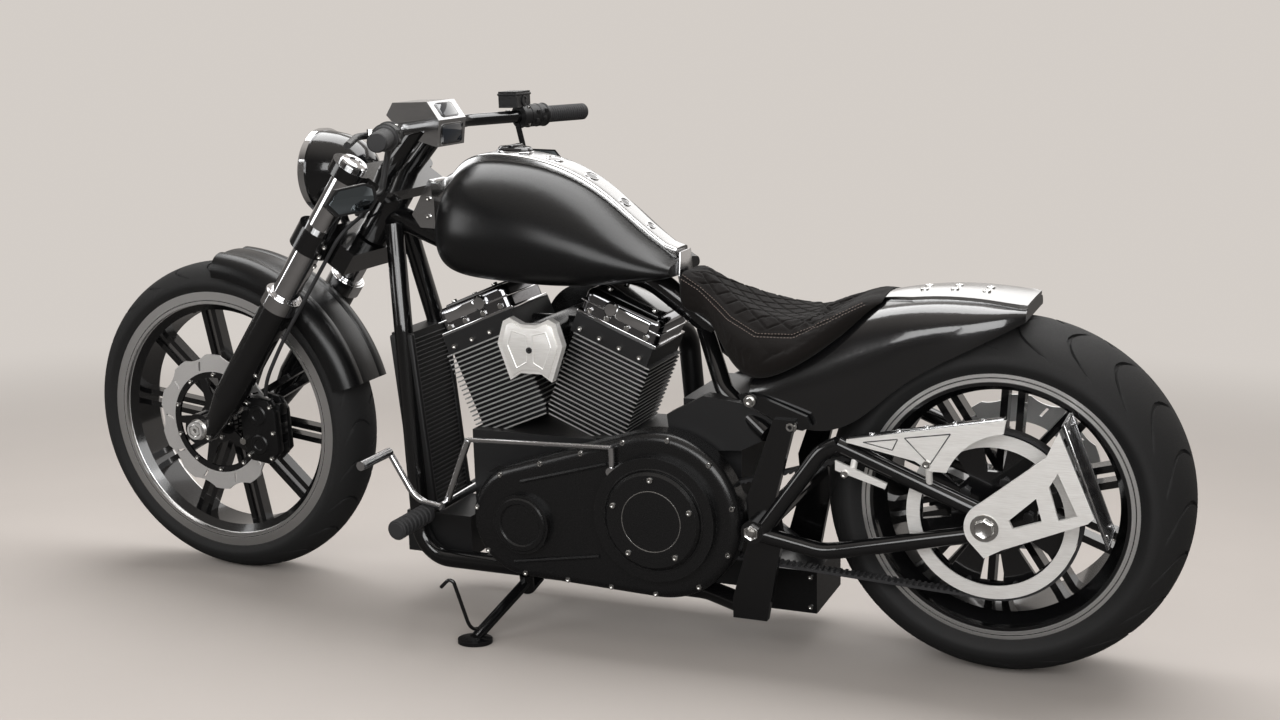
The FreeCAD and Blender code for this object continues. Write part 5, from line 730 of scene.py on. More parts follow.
# %% [markdown]
# The big clutch cover is held by five bright screws and carries one thin turned ring. The case
# around it is closed by a row of screws that follows its edge. The row is worked out from the same
# two circles as the case, so it stays parallel with the edge all the way round. Two black rings and
# two low ribs follow on the case's face.

# %% Screws and ring of the primary case
CLUTCH_END, CRANK_END, INSET = 160, 112, 10
cover = bmesh.new()
ring_of(cover, lambda: screw(5.6, 3.2), 5, 79, 232, first=90, centre=CLUTCH)
add(cover, washer(56.9, 58.4, 0.9, 0.2, 96), outward(CLUTCH.x, 231.3, CLUTCH.z))

run_between = CRANK - CLUTCH
slope = math.atan2(run_between.z, run_between.x)
spread = math.acos((CLUTCH_END - CRANK_END) / run_between.length)


def polar(centre, angle, radius):
    """The point at an angle and a distance from a centre, in the bike's middle plane."""
    return centre + Vector((math.cos(angle), 0, math.sin(angle))) * radius


def edge_point(share):
    """A point inside the case's edge, for a share of the way round it."""
    big, small = CLUTCH_END - INSET, CRANK_END - INSET
    low, high = slope - spread, slope + spread
    straight = run_between.length * math.sin(spread)
    lengths = [straight, small * 2 * spread, straight, big * (math.tau - 2 * spread)]
    left = share * sum(lengths)
    for index, length in enumerate(lengths):
        if left <= length:
            break
        left -= length
    k = left / length
    if index == 0:
        return polar(CLUTCH, low, big).lerp(polar(CRANK, low, small), k)
    if index == 1:
        return polar(CRANK, low + 2 * spread * k, small)
    if index == 2:
        return polar(CRANK, high, small).lerp(polar(CLUTCH, high, big), k)
    return polar(CLUTCH, high + (math.tau - 2 * spread) * k, big)


EDGE_SCREWS = 15
for index in range(EDGE_SCREWS):
    at = edge_point(index / EDGE_SCREWS)
    add(cover, screw(5.4, 4.5), outward(at.x, 200.5, at.z))
piece("primary_screws", cover, "chassis", bolt_steel)

panel = bmesh.new()
add(panel, washer(94.5, 98.5, 3.2, 1.2, 96), outward(CLUTCH.x, 221, CLUTCH.z))
add(panel, washer(40, 53, 4.0, 2.5, 72), outward(CRANK.x, 217.6, CRANK.z))
for low_x, low_z, high_x, high_z in ((700, 372, 880, 322), (720, 190, 900, 160)):
    add(panel, run([(low_x, 203.5, low_z), ((low_x + high_x) / 2, 204.5, (low_z + high_z) / 2),
                    (high_x, 203, high_z)], 4.5))
piece("primary_rings", panel, "chassis", cover_black)
print("case screws:", made_of["primary_screws"], "triangles")

# %% [markdown]
# Each cylinder gets a plain core between its fins. On its rocker box go two bright edges, bright
# caps and pads on both sides, a raised black panel on the lid, and rows of nuts and screws. They
# are modelled once, standing on the cylinder's own line, and placed for the front and the rear
# cylinder, which lean 22.5 degrees either way.

# %% Rocker boxes and heads
def on_cylinder(sign):
    """From a cylinder's own frame, with Z up its bore, to the bike."""
    lean = math.radians(CYLINDER_LEAN * sign)
    return Matrix.Translation(CRANK) @ Matrix.Rotation(lean, 4, "Y")


ROCKER_BASE = 388.8
boxes, lids, bolts, core = (bmesh.new() for _ in range(4))
for sign in (1, -1):
    place = on_cylinder(sign)
    add(core, rounded_block((150, 148, 178), 6, 3), place @ moved(8 * sign, 0, 262))
    for level, grow, high in ((ROCKER_BASE + 2, 3, 7), (ROCKER_BASE + 27, 2, 4)):
        add(boxes, rounded_block((168 + grow * 2, 148 + grow * 2, high), 1.6),
            place @ moved(0, 0, level))
    add(lids, rounded_block((132, 116, 9), 3.5, 3), place @ moved(0, 0, 440))
    for x in (-49.8, 49.8):
        for y in (-43.16, 43.16):
            add(bolts, screw(6, 5), place @ moved(x, y, 444.4))
    for side in (1, -1):
        for x in (-62, -20, 24, 62):
            add(bolts, hexagon(6.2, 5), place @ outward(x, 74, 401, side))
        for x in (-66, -22, 22, 66):
            add(bolts, screw(5.5, 5), place @ outward(x, 82, 362, side))
        add(boxes, spun([(15, 0), (15, 5), (12, 8), (6, 8.5), (0, 8.5)], 36),
            place @ outward(-22 * sign, 74, 422, side))
        add(boxes, rounded_block((74, 12, 24), 4), place @ moved(26 * sign, 76 * side, 421))
piece("cylinder_cores", core, "chassis", engine_black)
piece("rocker_layers", boxes, "chassis", chrome)
piece("rocker_lids", lids, "chassis", gloss_black)
piece("head_screws", bolts, "chassis", bolt_steel)
print("rocker boxes:", made_of["rocker_layers"], "triangles")

# %% [markdown]
# Between the cylinders sits a brushed shield. It is one plate with a raised panel, two fields
# with a raised edge that follow its waist, and a black screw in the middle. The panel repeats the
# outline of the plate at a smaller scale, which is how a milled step looks.

# %% Shield between the cylinders
HALF = [(0.16, -0.38), (0.32, -0.50), (0.5, 0.08), (0.40, 0.44), (0.30, 0.5), (0.12, 0.40)]
SHIELD = HALF + [(-x, z) for x, z in reversed(HALF)]
SHIELD_LEVEL = 566
WIDTH, HEIGHT = 138 * 0.86, 122 * 0.86
shield = bmesh.new()
add(shield, slab([(CRANK.x + WIDTH * x, 145, SHIELD_LEVEL + HEIGHT * z) for x, z in SHIELD],
                 (0, 4.2, 0), 1.4))
for side in (1, -1):
    field = [(CRANK.x + side * x, 149.0, SHIELD_LEVEL + z)
             for x, z in ((7, -24), (7, 29), (36, 36), (46, 8), (28, -36))]
    for first, last in zip(field, field[1:] + field[:1]):
        add(shield, run([first, last], 1.5, 8, smooth=False))
piece("shield_panel", shield, "chassis", brushed)
middle = bmesh.new()
add(middle, screw(6.0, 3.5), outward(CRANK.x, 149.2, SHIELD_LEVEL))
piece("shield_screw", middle, "chassis", dark_bolt)
print("shield:", made_of["shield_panel"], "triangles")

# %% [markdown]
# The cooler in front of the engine is a stack of thin fins, which is what makes it read as a dark
# ribbed panel. The fins are plates with a small gap, set along the slope of its two side tanks.
# On the right, the air cleaner gets a turned cover, a bright ring and screws, and the cam cover
# gets its screws.

# %% Cooler, air cleaner and cam cover
FOOT_X, HEAD_SHIFT, FIN_STEP = 1172, 34, 8.9
cooler = bmesh.new()
for index in range(40):
    z = 206 + FIN_STEP * index
    x = FOOT_X + HEAD_SHIFT * (z - 196) / 372
    add(cooler, rounded_block((50, 128, 2.4), 0.6, 1), moved(x, 0, z))
for side in (1, -1):
    foot = Vector((FOOT_X, 70 * side, 200))
    head = Vector((FOOT_X + HEAD_SHIFT, 70 * side, 564))
    add(cooler, rounded_block((54, 14, 368), 5, 3),
        towards((foot + head) / 2, head - foot) @ Matrix.Rotation(math.radians(90), 4, "Z"))
piece("cooler_fins", cooler, "chassis", plastic)

CLEANER = Vector((CRANK.x, 0, 560))
cleaner = bmesh.new()
add(cleaner, spun([(92.5, 0), (94, 4), (94, 14), (90, 19), (78, 21), (72, 17), (30, 15), (24, 19),
                   (0, 20)], 72), outward(CLEANER.x, 170, CLEANER.z, -1))
piece("cleaner_cover", cleaner, "chassis", cover_black)
ringed = bmesh.new()
add(ringed, washer(79, 87, 2.5, 1.0, 72), outward(CLEANER.x, 190.3, CLEANER.z, -1))
ring_of(ringed, lambda: screw(6, 4), 3, 50, 186, first=90, side=-1, centre=CLEANER)
ring_of(ringed, lambda: screw(5, 4), 6, 80, 148, first=30, side=-1, centre=CRANK)
piece("right_side_brights", ringed, "chassis", bolt_steel)
print("cooler:", made_of["cooler_fins"], "triangles")

# %% [markdown]
# A hand grip is a rubber sleeve with a flange at its inner end and shallow rings that keep the
# hand from slipping. It replaces the plain CAD sleeve, so it is spun along the same line: from
# where the switch housing ends to just past the end of the bar.

# %% Grips
BAR_END = {side: Vector((1013, 425 * side, 980)) for side in (1, -1)}
BAR_WAY = {side: Vector((-137, 295 * side, 0)).normalized() for side in (1, -1)}


def on_bar(side, back, ahead=0.0, up=0.0):
    """A point a distance back from the bar's end, and ahead of or above it."""
    across = Vector((BAR_WAY[side].y, -BAR_WAY[side].x, 0)) * side
    return BAR_END[side] - BAR_WAY[side] * back + across * ahead + Vector((0, 0, up))


sleeve = [(13.5, 0), (21.5, 0), (22.5, 1.5), (21.5, 4), (18.0, 7)]
for index in range(16):
    start = 9 + index * 6
    sleeve += [(17.9, start), (17.9, start + 4.4), (17.2, start + 4.9), (17.2, start + 5.5)]
sleeve += [(17.9, 106), (17.6, 110), (15.5, 113), (8, 113.8), (0, 113.8)]
grips = bmesh.new()
for side in (1, -1):
    add(grips, spun(sleeve, 40), towards(on_bar(side, 112), BAR_WAY[side]))
piece("grips_ringed", grips, "steering", soft_rubber, replaces=("grips",))
print("grips:", made_of["grips_ringed"], "triangles")

# %% [markdown]
# The switch housings, levers and reservoir are CAD solids. What makes them look used is small:
# the seam between the two halves of each housing, the buttons, the screws of the clamps, the lid
# of the reservoir and its round window.

# %% Switches and reservoir
controls = bmesh.new()
shiny = bmesh.new()
for side in (1, -1):
    for back, radius, wall in ((114, 25.2, 3), (134, 24.8, 1.6), (157, 25.2, 3), (176, 25.6, 5)):
        add(controls, washer(23.4, radius, wall, 0.6, 40),
            towards(on_bar(side, back + wall), BAR_WAY[side]))
    for back, lift in ((122, 10), (128, -6), (144, 8), (148, -10)):
        at = on_bar(side, back, -22, lift)
        add(controls, rounded_block((8, 9, 7), 1.6),
            towards(at, on_bar(side, back, -40, lift) - at))
    for back, lift in ((166, 17), (166, -17)):
        at = on_bar(side, back, -15, lift)
        add(shiny, screw(3.6, 3.5, 16), towards(at, on_bar(side, back, -30, lift) - at))
    at = on_bar(side, 182, 34, 0)
    add(shiny, hexagon(6.5, 13), towards(at + Vector((0, 0, -1)), (0, 0, 1)))
add(controls, rounded_block((48, 66, 5), 1.5), moved(1098.8, -262.4, 1027))
add(controls, spun([(11, -1), (11, 2.4), (8.5, 2.6), (8, 1.2), (0, 1.2)], 28),
    towards((1076.6, -262.4, 1013), (-1, 0, 0)))
piece("switch_details", controls, "steering", plastic)
piece("control_screws", shiny, "steering", bolt_steel)

# %% [markdown]
# A mirror is a dark shell with a pane of silvered glass on its face. The pane repeats the shell's
# outline, a little smaller, and lies just proud of it.

# %% Mirror panes
GLASS = [(0.5, -0.1), (0.28, 0.38), (-0.3, 0.5), (-0.46, 0.36), (-0.5, -0.1), (-0.36, -0.42),
         (0.3, -0.5)]
STEM_BACK = 185.6
panes = bmesh.new()
shells = bmesh.new()
heading = math.radians(27)
outwards = Vector((math.sin(heading), math.cos(heading), 0))
facing = Vector((-math.cos(heading), math.sin(heading), 0))
for side in (1, -1):
    middle = on_bar(side, STEM_BACK) + Vector((10, 132 * side, -104))
    for scale, start, wall, target in ((0.86, 10.2, 1.0, panes), (1.0, -1.5, 2.5, shells)):
        corners = [middle + facing * start + outwards * (106 * across * side * scale)
                   + Vector((0, 0, 54 * up * scale)) for across, up in GLASS]
        add(target, slab(corners, facing * wall, 0.4))
piece("mirror_panes", panes, "steering", silvered)
piece("mirror_backs", shells, "steering", gloss_black)
print("mirrors:", made_of["mirror_panes"], "triangles")

# %% [markdown]
# The instrument housing is a polished wedge over the bar. A dark display is let into its sloping
# face towards the rider, and a tinted glass sits below it. Both are thin plates that lie on the
# slopes of the CAD housing.

# %% Displays
def on_slope(low, high, along, across, lift):
    """A point on a slope that runs from low to high in the bike's middle plane."""
    low, high = Vector(low), Vector(high)
    way = (high - low).normalized()
    normal = Vector((-way.z, 0, way.x))
    return low + (high - low) * along + Vector((0, across, 0)) + normal * lift


displays = bmesh.new()
frames = bmesh.new()
for low, high, first, last, half in (((1103, 0, 992.8), (1127.6, 0, 1028.6), 0.16, 0.84, 30),
                                     ((1109.7, 0, 940.3), (1103, 0, 992.8), 0.12, 0.80, 38)):
    for grow, start, wall, target in ((1.0, -0.4, 2.0, displays), (1.14, -1.0, 2.0, frames)):
        centre = (first + last) / 2
        spread_share = (last - first) / 2 * grow
        width = half * grow
        corners = [on_slope(low, high, centre + a * spread_share, b * width, start)
                   for a, b in ((-1, -0.8), (-0.8, -1), (0.8, -1), (1, -0.8), (1, 0.8), (0.8, 1),
                                (-0.8, 1), (-1, 0.8))]
        out = on_slope(low, high, centre, 0, wall) - on_slope(low, high, centre, 0, 0)
        add(target, slab(corners, out, 0.5))
screen = finish("tinted_screen", (0.010, 0.014, 0.020), 0.07, scale=30, depth=0.002, swing=0.1,
                coat=1.0)
piece("dash_displays", displays, "steering", screen)
piece("dash_frames", frames, "steering", gloss_black)
print("displays:", made_of["dash_displays"], "triangles")

# %% [markdown]
# The headlight is a hollow bucket: a reflector behind clear glass, with a small shade over the
# bulb. The CAD bucket is closed, so a spun shell stands for it here, with the reflector as its own
# piece. Glass is a plain transmission on the shader, with a faint haze from the shared grain.

# %% Headlight
LAMP = towards((1420, 0, 885), (1, 0, 0))
bucket = bmesh.new()
add(bucket, spun([(0, -128), (25, -127), (48, -115), (66, -92), (78, -60), (84, -30), (85, -16),
                  (81, -16), (80, -30), (74, -58), (62, -88), (0, -118)], 64), LAMP)
add(bucket, run([(1343, 0, 712), (1372, 0, 790), (1377, 0, 817)], 9, smooth=False))
piece("headlight_bucket", bucket, "steering", gloss_black,
      replaces=("headlight_shell",))
bowl = bmesh.new()
add(bowl, spun([(76.5, -8), (70, -30), (54, -58), (30, -76), (14, -82), (14, -84), (31, -79),
                (56, -60), (72, -31), (78.5, -8)], 64), LAMP)
add(bowl, spun([(0, -30), (13, -31), (16, -38), (15, -52), (13, -52), (13, -40), (0, -36)], 36),
    LAMP)
piece("headlight_reflector", bowl, "steering", chrome)
clear = bpy.data.materials.new("clear_glass")
clear.use_nodes = True
tree = clear.node_tree
shader = tree.nodes["Principled BSDF"]
for socket, value in (("Base Color", (0.93, 0.96, 0.97, 1)), ("Transmission Weight", 1.0),
                      ("IOR", 1.45)):
    shader.inputs[socket].default_value = value
smear = node(tree, "Group", [("Scale", 40), ("Depth", 0.01)], node_tree=grain)
haze = remap(tree, smear.outputs["Value"], 0, 1, 0.01, 0.05)
tree.links.new(haze, shader.inputs["Roughness"])
tree.links.new(smear.outputs["Normal"], shader.inputs["Normal"])
lens = bmesh.new()
add(lens, spun([(77, -8), (77, -4), (66, -1.2), (48, 1.6), (26, 3.4), (0, 4.0), (0, 1.0),
                (26, 0.4), (48, -1.4), (66, -4.2), (74, -7), (77, -8)], 64), LAMP)
piece("headlight_glass", lens, "steering", clear, replaces=("headlight_lens",))
print("headlight:", made_of["headlight_reflector"], "triangles")

# %% [markdown]
# The front caliper is a black casting that straddles the disc. Its outer half follows the disc's
# curve and carries two piston caps. It is built from two bevelled plates, one on each side of the
# disc, and three blocks that bridge them. Bright screws and nuts hold it.

# %% Front caliper
HALF_OUTLINE = [(-178, -46), (-174, 40), (-158, 66), (-118, 72), (-92, 56), (-86, 20), (-88, -34),
                (-104, -68), (-150, -74)]
caliper = bmesh.new()
add(caliper, slab([(x, 80, z) for x, z in HALF_OUTLINE], (0, 22, 0), 4.0))
add(caliper, slab([(x, 60, z) for x, z in HALF_OUTLINE], (0, -15, 0), 3.0))
for z in (-44, 0, 42):
    add(caliper, rounded_block((16, 26, 26), 3), moved(-167, 70, z))
for z in (-32, 32):
    add(caliper, spun([(22, -3), (22, 2.4), (19, 4.4), (12, 4.4), (10, 2.8), (0, 2.8)], 40),
        outward(-130, 100.5, z))
levels = [v.co.y for v in caliper.verts]
print("caliper spans y", round(min(levels)), "to", round(max(levels)))
piece("front_caliper_body", caliper, "steering", satin_black, FRONT_WHEEL,
      ("front_caliper",))
held = bmesh.new()
for x, z in ((-160, -60), (-164, 52), (-104, -56), (-108, 58), (-168, -4)):
    add(held, screw(5.2, 4), outward(x, 102, z))
for x, z in ((-92, 46), (-92, -26)):
    add(held, hexagon(8.5, 7), outward(x, 101.5, z))
piece("caliper_screws", held, "steering", bolt_steel, FRONT_WHEEL)

# %% [markdown]
# Each fork leg ends in a chrome cap above the clamp and has a ring below it. Screws close the
# clamps and the slider's foot, and a nut sits on each end of the axle.

# %% Fork fittings
TUBE_X, TUBE_Y = 59, 118
caps, pinch, axle_nut = (bmesh.new() for _ in range(3))
for side in (1, -1):
    add(caps, spun([(27.5, 94), (27.5, 99), (25, 102), (14, 103.5), (13, 101), (0, 101)], 48),
        moved(TUBE_X, TUBE_Y * side, 0))
    add(caps, washer(28.4, 35.8, 5, 1.6, 48), moved(TUBE_X, TUBE_Y * side, -234))
    for level in (66, -100, -76, -124):
        add(pinch, screw(4.6, 5), towards((TUBE_X - 40, (TUBE_Y + 24) * side, level),
                                          (-0.4, side, 0)))
    add(pinch, screw(5.5, 5), towards((TUBE_X - 8, (TUBE_Y + 16) * side, -611), (-0.5, side, 0)))
    add(pinch, screw(5.0, 5), towards((TUBE_X - 33, (TUBE_Y + 10) * side, -420),
                                      (-1, 0.2 * side, 0)))
    add(axle_nut, hexagon(15.5, 7, bore=7), outward(0, 142.6, 0, side))
    add(axle_nut, washer(16, 23, 3, 0.8, 48), outward(0, 135.2, 0, side))
piece("fork_caps", caps, "steering", chrome, FORK)
piece("fork_screws", pinch, "steering", bolt_steel, FORK)
piece("front_axle_nuts", axle_nut, "steering", bolt_steel, FRONT_WHEEL)
print("fork fittings:", made_of["fork_caps"], "triangles")

# %% [markdown]
# The seat is foam under suede, so it is swelled like a real cushion instead of modelled by hand.
# The CAD pad is copied, welded and remeshed to an even net, and drawn in a little. Cloth with an
# inner pressure then blows it up, while the underside and whatever lies close to a neighbour is
# held. How far a point may move is capped, so that the pad keeps the room it has in the model.

# %% Swell the seat
TO_BIKE = BIKE.inverted()
UPRIGHT = BIKE.to_3x3().normalized().inverted()


def solid_copy(names):
    """The welded meshes of some CAD nodes as one bmesh, in row metres."""
    made = bmesh.new()
    for name in names:
        made.from_mesh(frame["nodes"][name].data)
    bmesh.ops.remove_doubles(made, verts=made.verts, dist=0.00002)
    bmesh.ops.recalc_face_normals(made, faces=made.faces)
    return made


def evaluated(item):
    """A new mesh of an object with its modifiers at work."""
    graph = bpy.context.evaluated_depsgraph_get()
    return bpy.data.meshes.new_from_object(item.evaluated_get(graph))


def tree_of(names):
    """A search tree over the surfaces of some CAD nodes."""
    made = solid_copy(names)
    found = BVHTree.FromBMesh(made)
    made.free()
    return found


def remeshed(made, voxel):
    """An even closed net over a form."""
    mesh = bpy.data.meshes.new("net")
    made.to_mesh(mesh)
    made.free()
    item = bpy.data.objects.new("net", mesh)
    scene.collection.objects.link(item)
    change = item.modifiers.new("even", "REMESH")
    change.mode = "VOXEL"
    change.voxel_size = voxel
    net = evaluated(item)
    bpy.data.objects.remove(item)
    return net


DRAWN_IN = 0.0045
CAP = 0.0085
KEPT_OFF = 0.012
LAST_STEP = 20
net = remeshed(solid_copy(["seat"]), 0.005)
made = bmesh.new()
made.from_mesh(net)
bmesh.ops.smooth_vert(made, verts=made.verts, factor=0.5, use_axis_x=True, use_axis_y=True,
                      use_axis_z=True)
made.normal_update()
for dot in made.verts:
    dot.co -= dot.normal * DRAWN_IN
near_tree = tree_of(["fuel_tank", "tank_trim", "rear_fender", "rear_fender_trim", "backbone",
                     "rear_frame", "fender_struts"])
made.normal_update()
held_dots = []
for dot in made.verts:
    down = (UPRIGHT @ dot.normal).z < -0.25
    if down or near_tree.find_nearest(dot.co, KEPT_OFF)[0] is not None:
        held_dots.append(dot.index)
start = [dot.co.copy() for dot in made.verts]
made.to_mesh(net)
made.free()
pad = bpy.data.objects.new("seat_pad", net)
scene.collection.objects.link(pad)
grip = pad.vertex_groups.new(name="held")
grip.add(held_dots, 1.0, "REPLACE")
swell = pad.modifiers.new("swell", "CLOTH")
swell.settings.vertex_group_mass = "held"
swell.settings.use_pressure = True
swell.settings.uniform_pressure_force = 4
swell.settings.effector_weights.gravity = 0
swell.point_cache.frame_start = 1
swell.point_cache.frame_end = LAST_STEP
for step in range(1, LAST_STEP + 1):
    scene.frame_set(step)
blown = evaluated(pad)
pad.modifiers.clear()
moves = []
for dot, first, last in zip(pad.data.vertices, start, blown.vertices):
    shift = last.co - first
    if shift.length > CAP:
        shift = shift.normalized() * CAP
    dot.co = first + shift
    moves.append(shift.length)
bpy.data.meshes.remove(blown)
scene.frame_set(1)
print("seat swelled by", round(max(moves) * 1000, 1), "mm at most")

# %% [markdown]
# The stitching comes after the swelling, on a finer net. The middle of the seat is quilted in
# diamonds: two families of lines cross, each line presses the surface in, and the foam stands up
# between them. A seam runs round that panel as a shallow groove, and a double row of thread
# follows it, made of short stitches that lie on the surface.

# %% Quilting and stitches
SEAT_ROWS = [(0.00, 0.30, 1.00, 0.84), (0.12, 0.50, 0.94, 0.62), (0.30, 0.80, 0.76, 0.30),
             (0.45, 1.00, 0.66, 0.16), (0.62, 1.00, 0.64, 0.26), (0.78, 0.90, 0.76, 0.46),
             (0.92, 0.66, 0.87, 0.66), (1.00, 0.46, 0.88, 0.74)]
SEAT_NOSE, SEAT_LENGTH, SEAT_HALF, SEAT_LOW, SEAT_RISE = 610, 402, 168, 500, 212


def seat_row(x):
    """Half width, top and bottom of the seat at a place along the bike, in millimetres."""
    share = (SEAT_NOSE - x) / SEAT_LENGTH
    for first, last in zip(SEAT_ROWS, SEAT_ROWS[1:]):
        if share <= last[0] or last is SEAT_ROWS[-1]:
            k = min(1, max(0, (share - first[0]) / (last[0] - first[0])))
            half, top, bottom = (a + (b - a) * k for a, b in zip(first[1:], last[1:]))
            return SEAT_HALF * half, SEAT_LOW + SEAT_RISE * top, SEAT_LOW + SEAT_RISE * bottom


made = bmesh.new()
made.from_mesh(pad.data)
bmesh.ops.subdivide_edges(made, edges=made.edges[:], cuts=1, use_grid_fill=True, smooth=0.6)
made.normal_update()
seat_tree = BVHTree.FromBMesh(made)


def on_seat(x, share, side):
    """The seat's surface at a height share of its flank, looked up from outside."""
    half, top, bottom = seat_row(x)
    aim = BIKE @ Vector((x, 0, bottom + (top - bottom) * (share - 0.35)))
    eye = BIKE @ Vector((x, side * half * 2.2, bottom + (top - bottom) * (share + 0.55)))
    return seat_tree.ray_cast(eye, (aim - eye).normalized())[:2]


seam = {1: [], -1: []}
for side in (1, -1):
    for step in range(120):
        x = 598 - step * 3.0
        hit, normal = on_seat(x, 0.80, side)
        if hit is not None:
            seam[side].append((hit, normal))
    print("seam points on side", side, len(seam[side]))
lookup = KDTree(sum(len(line) for line in seam.values()))
for index, (hit, normal) in enumerate(seam[1] + seam[-1]):
    lookup.insert(hit, index)
lookup.balance()


def ramp(value, low, high):
    """Rises smoothly from 0 at low to 1 at high."""
    k = min(1, max(0, (value - low) / (high - low)))
    return k * k * (3 - 2 * k)


SEAM_DEPTH, DIAMOND_LONG, DIAMOND_WIDE = 1.7, 46, 40
for dot in made.verts:
    at = TO_BIKE @ dot.co
    facing_up = (UPRIGHT @ dot.normal).z
    away = lookup.find(dot.co)[2] / PER_MM
    push = -SEAM_DEPTH * math.exp(-(away / 2.6) ** 2)
    half = seat_row(at.x)[0]
    inside = (ramp(facing_up, 0.35, 0.6) * ramp(half * 0.78 - abs(at.y), 0, 10)
              * ramp(590 - at.x, 0, 20) * ramp(at.x - 285, 0, 16) * ramp(away, 10, 22))
    if inside > 0:
        u, v = at.x / DIAMOND_LONG, at.y / DIAMOND_WIDE
        lines = [abs((u + v) % 1 - 0.5), abs((u - v) % 1 - 0.5)]
        near_line = (0.5 - max(lines)) * DIAMOND_WIDE
        push += inside * (1.6 - 3.6 * math.exp(-(near_line / 2.4) ** 2))
    dot.co += dot.normal * push * PER_MM
suede = finish("suede", (0.0070, 0.0060, 0.0055), 0.80, scale=1400, depth=0.5, swing=0.35,
               specular=0.05)
for socket, value in (("Sheen Weight", 0.04), ("Sheen Roughness", 0.5)):
    suede.node_tree.nodes["Principled BSDF"].inputs[socket].default_value = value
made.to_mesh(pad.data)
made.free()
pad.vertex_groups.clear()
pad.data.materials.clear()
pad.data.materials.append(suede)
pad.data.shade_smooth()
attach(pad, "chassis")
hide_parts("seat")
print("seat:", sum(len(p.vertices) - 2 for p in pad.data.polygons), "triangles")

thread = finish("thread", (0.19, 0.15, 0.13), 0.7, scale=2500, depth=0.4, swing=0.2)
STITCH_STEP = 0.0062
stitches = bmesh.new()
for side in (1, -1):
    line = seam[side]
    for offset in (-4.2, 4.2):
        rail = []
        for index, (hit, normal) in enumerate(line):
            ahead = line[min(index + 2, len(line) - 1)][0] - line[max(index - 2, 0)][0]
            across = ahead.cross(normal)
            if across.length:
                rail.append((hit + across.normalized() * offset * PER_MM, normal))
        walked, goal = 0, 0
        for (first, normal), (last, _) in zip(rail, rail[1:]):
            span = (last - first).length
            while walked + span >= goal and span > 0:
                point = first.lerp(last, (goal - walked) / span)
                way = (last - first).normalized()
                block = bmesh.new()
                bmesh.ops.create_icosphere(block, subdivisions=1, radius=1)
                bmesh.ops.scale(block, vec=(0.0021, 0.0007, 0.0006), verts=block.verts)
                add(stitches, block, Matrix.Translation(point + normal * 0.0002)
                    @ axes(way, normal.cross(way), normal))
                goal += STITCH_STEP
            walked += span
piece("seat_stitches", stitches, "chassis", thread, Matrix.Identity(4))
print("stitches:", made_of["seat_stitches"], "triangles")

# %% [markdown]
# The spine on the tank is a bright console with clean sides. It is lofted over the real tank: at
# each station a ray looks down for the height of the tank's crown, and a second one beside it
# finds where the side wall has to end. That way it follows the tank without a gap.

# %% Tank spine
tank_tree = tree_of(["fuel_tank"])
SPINE_TOP = 10.5
ABOVE_ALL = 1150


def top_of(tree, x, y):
    """The height of a form under a point, in bike millimetres, or None."""
    hit = tree.ray_cast(BIKE @ Vector((x, y, ABOVE_ALL)), -UP)[0]
    return (TO_BIKE @ hit).z if hit is not None else None


stations = []
for x in [1108, 1102, 1095, 1087] + [1079 - step * 7.4 for step in range(63)]:
    crown_z = top_of(tank_tree, x, 0)
    share = (1096 - x) / 480
    half = 40 + 7 * ramp(share, 0, 0.2) - 17 * ramp(share, 0.3, 0.95)
    edge_z = top_of(tank_tree, x, half)
    if crown_z is not None and edge_z is not None:
        stations.append([x, half, crown_z, edge_z])
for column in (2, 3):
    window = [[row[column] for row in stations[max(0, i - 3):i + 4]] for i in range(len(stations))]
    for row, levels in zip(stations, window):
        row[column] = sum(levels) / len(levels)
stations = [[1142, 31, 862, 846], [1126, 34, 861, 845]] + stations
print(len(stations), "spine stations from x", round(stations[0][0]), "to",
      round(stations[-1][0]))


def spine_row(x, half, crown_z, edge_z):
    """One cross-section of the spine: its left wall, its slightly crowned top, its right wall."""
    top = crown_z + SPINE_TOP
    side = [(half, edge_z - 6), (half, top - 5.0), (half - 0.9, top - 2.6), (half - 3.0, top - 1.4),
            (half * 0.7, top - 0.2), (half * 0.35, top + 0.3)]
    return [(x, y, z) for y, z in side] + [(x, 0, top + 0.4)] + [(x, -y, z) for y, z in side[::-1]]


spine = bmesh.new()
rows = [[spine.verts.new(point) for point in spine_row(*row)] for row in stations]
for first, last in zip(rows, rows[1:]):
    for index in range(len(first) - 1):
        spine.faces.new((first[index], first[index + 1], last[index + 1], last[index]))
    spine.faces.new((first[-1], first[0], last[0], last[-1]))
spine.faces.new(rows[0])
spine.faces.new(rows[-1][::-1])
bmesh.ops.recalc_face_normals(spine, faces=spine.faces)
piece("tank_spine", spine, "chassis", spine_metal, replaces=("tank_trim",), sharp=40)


def on_spine(x):
    """Stands a piece on the spine's top over its middle, square to its slope."""
    for first, last in zip(stations, stations[1:]):
        if last[0] <= x <= first[0]:
            k = (first[0] - x) / (first[0] - last[0])
            slope = Vector((last[0] - first[0], 0, last[2] - first[2])).normalized()
            level = first[2] + (last[2] - first[2]) * k + SPINE_TOP + 0.4
            return towards((x, 0, level), (slope.z, 0, -slope.x))


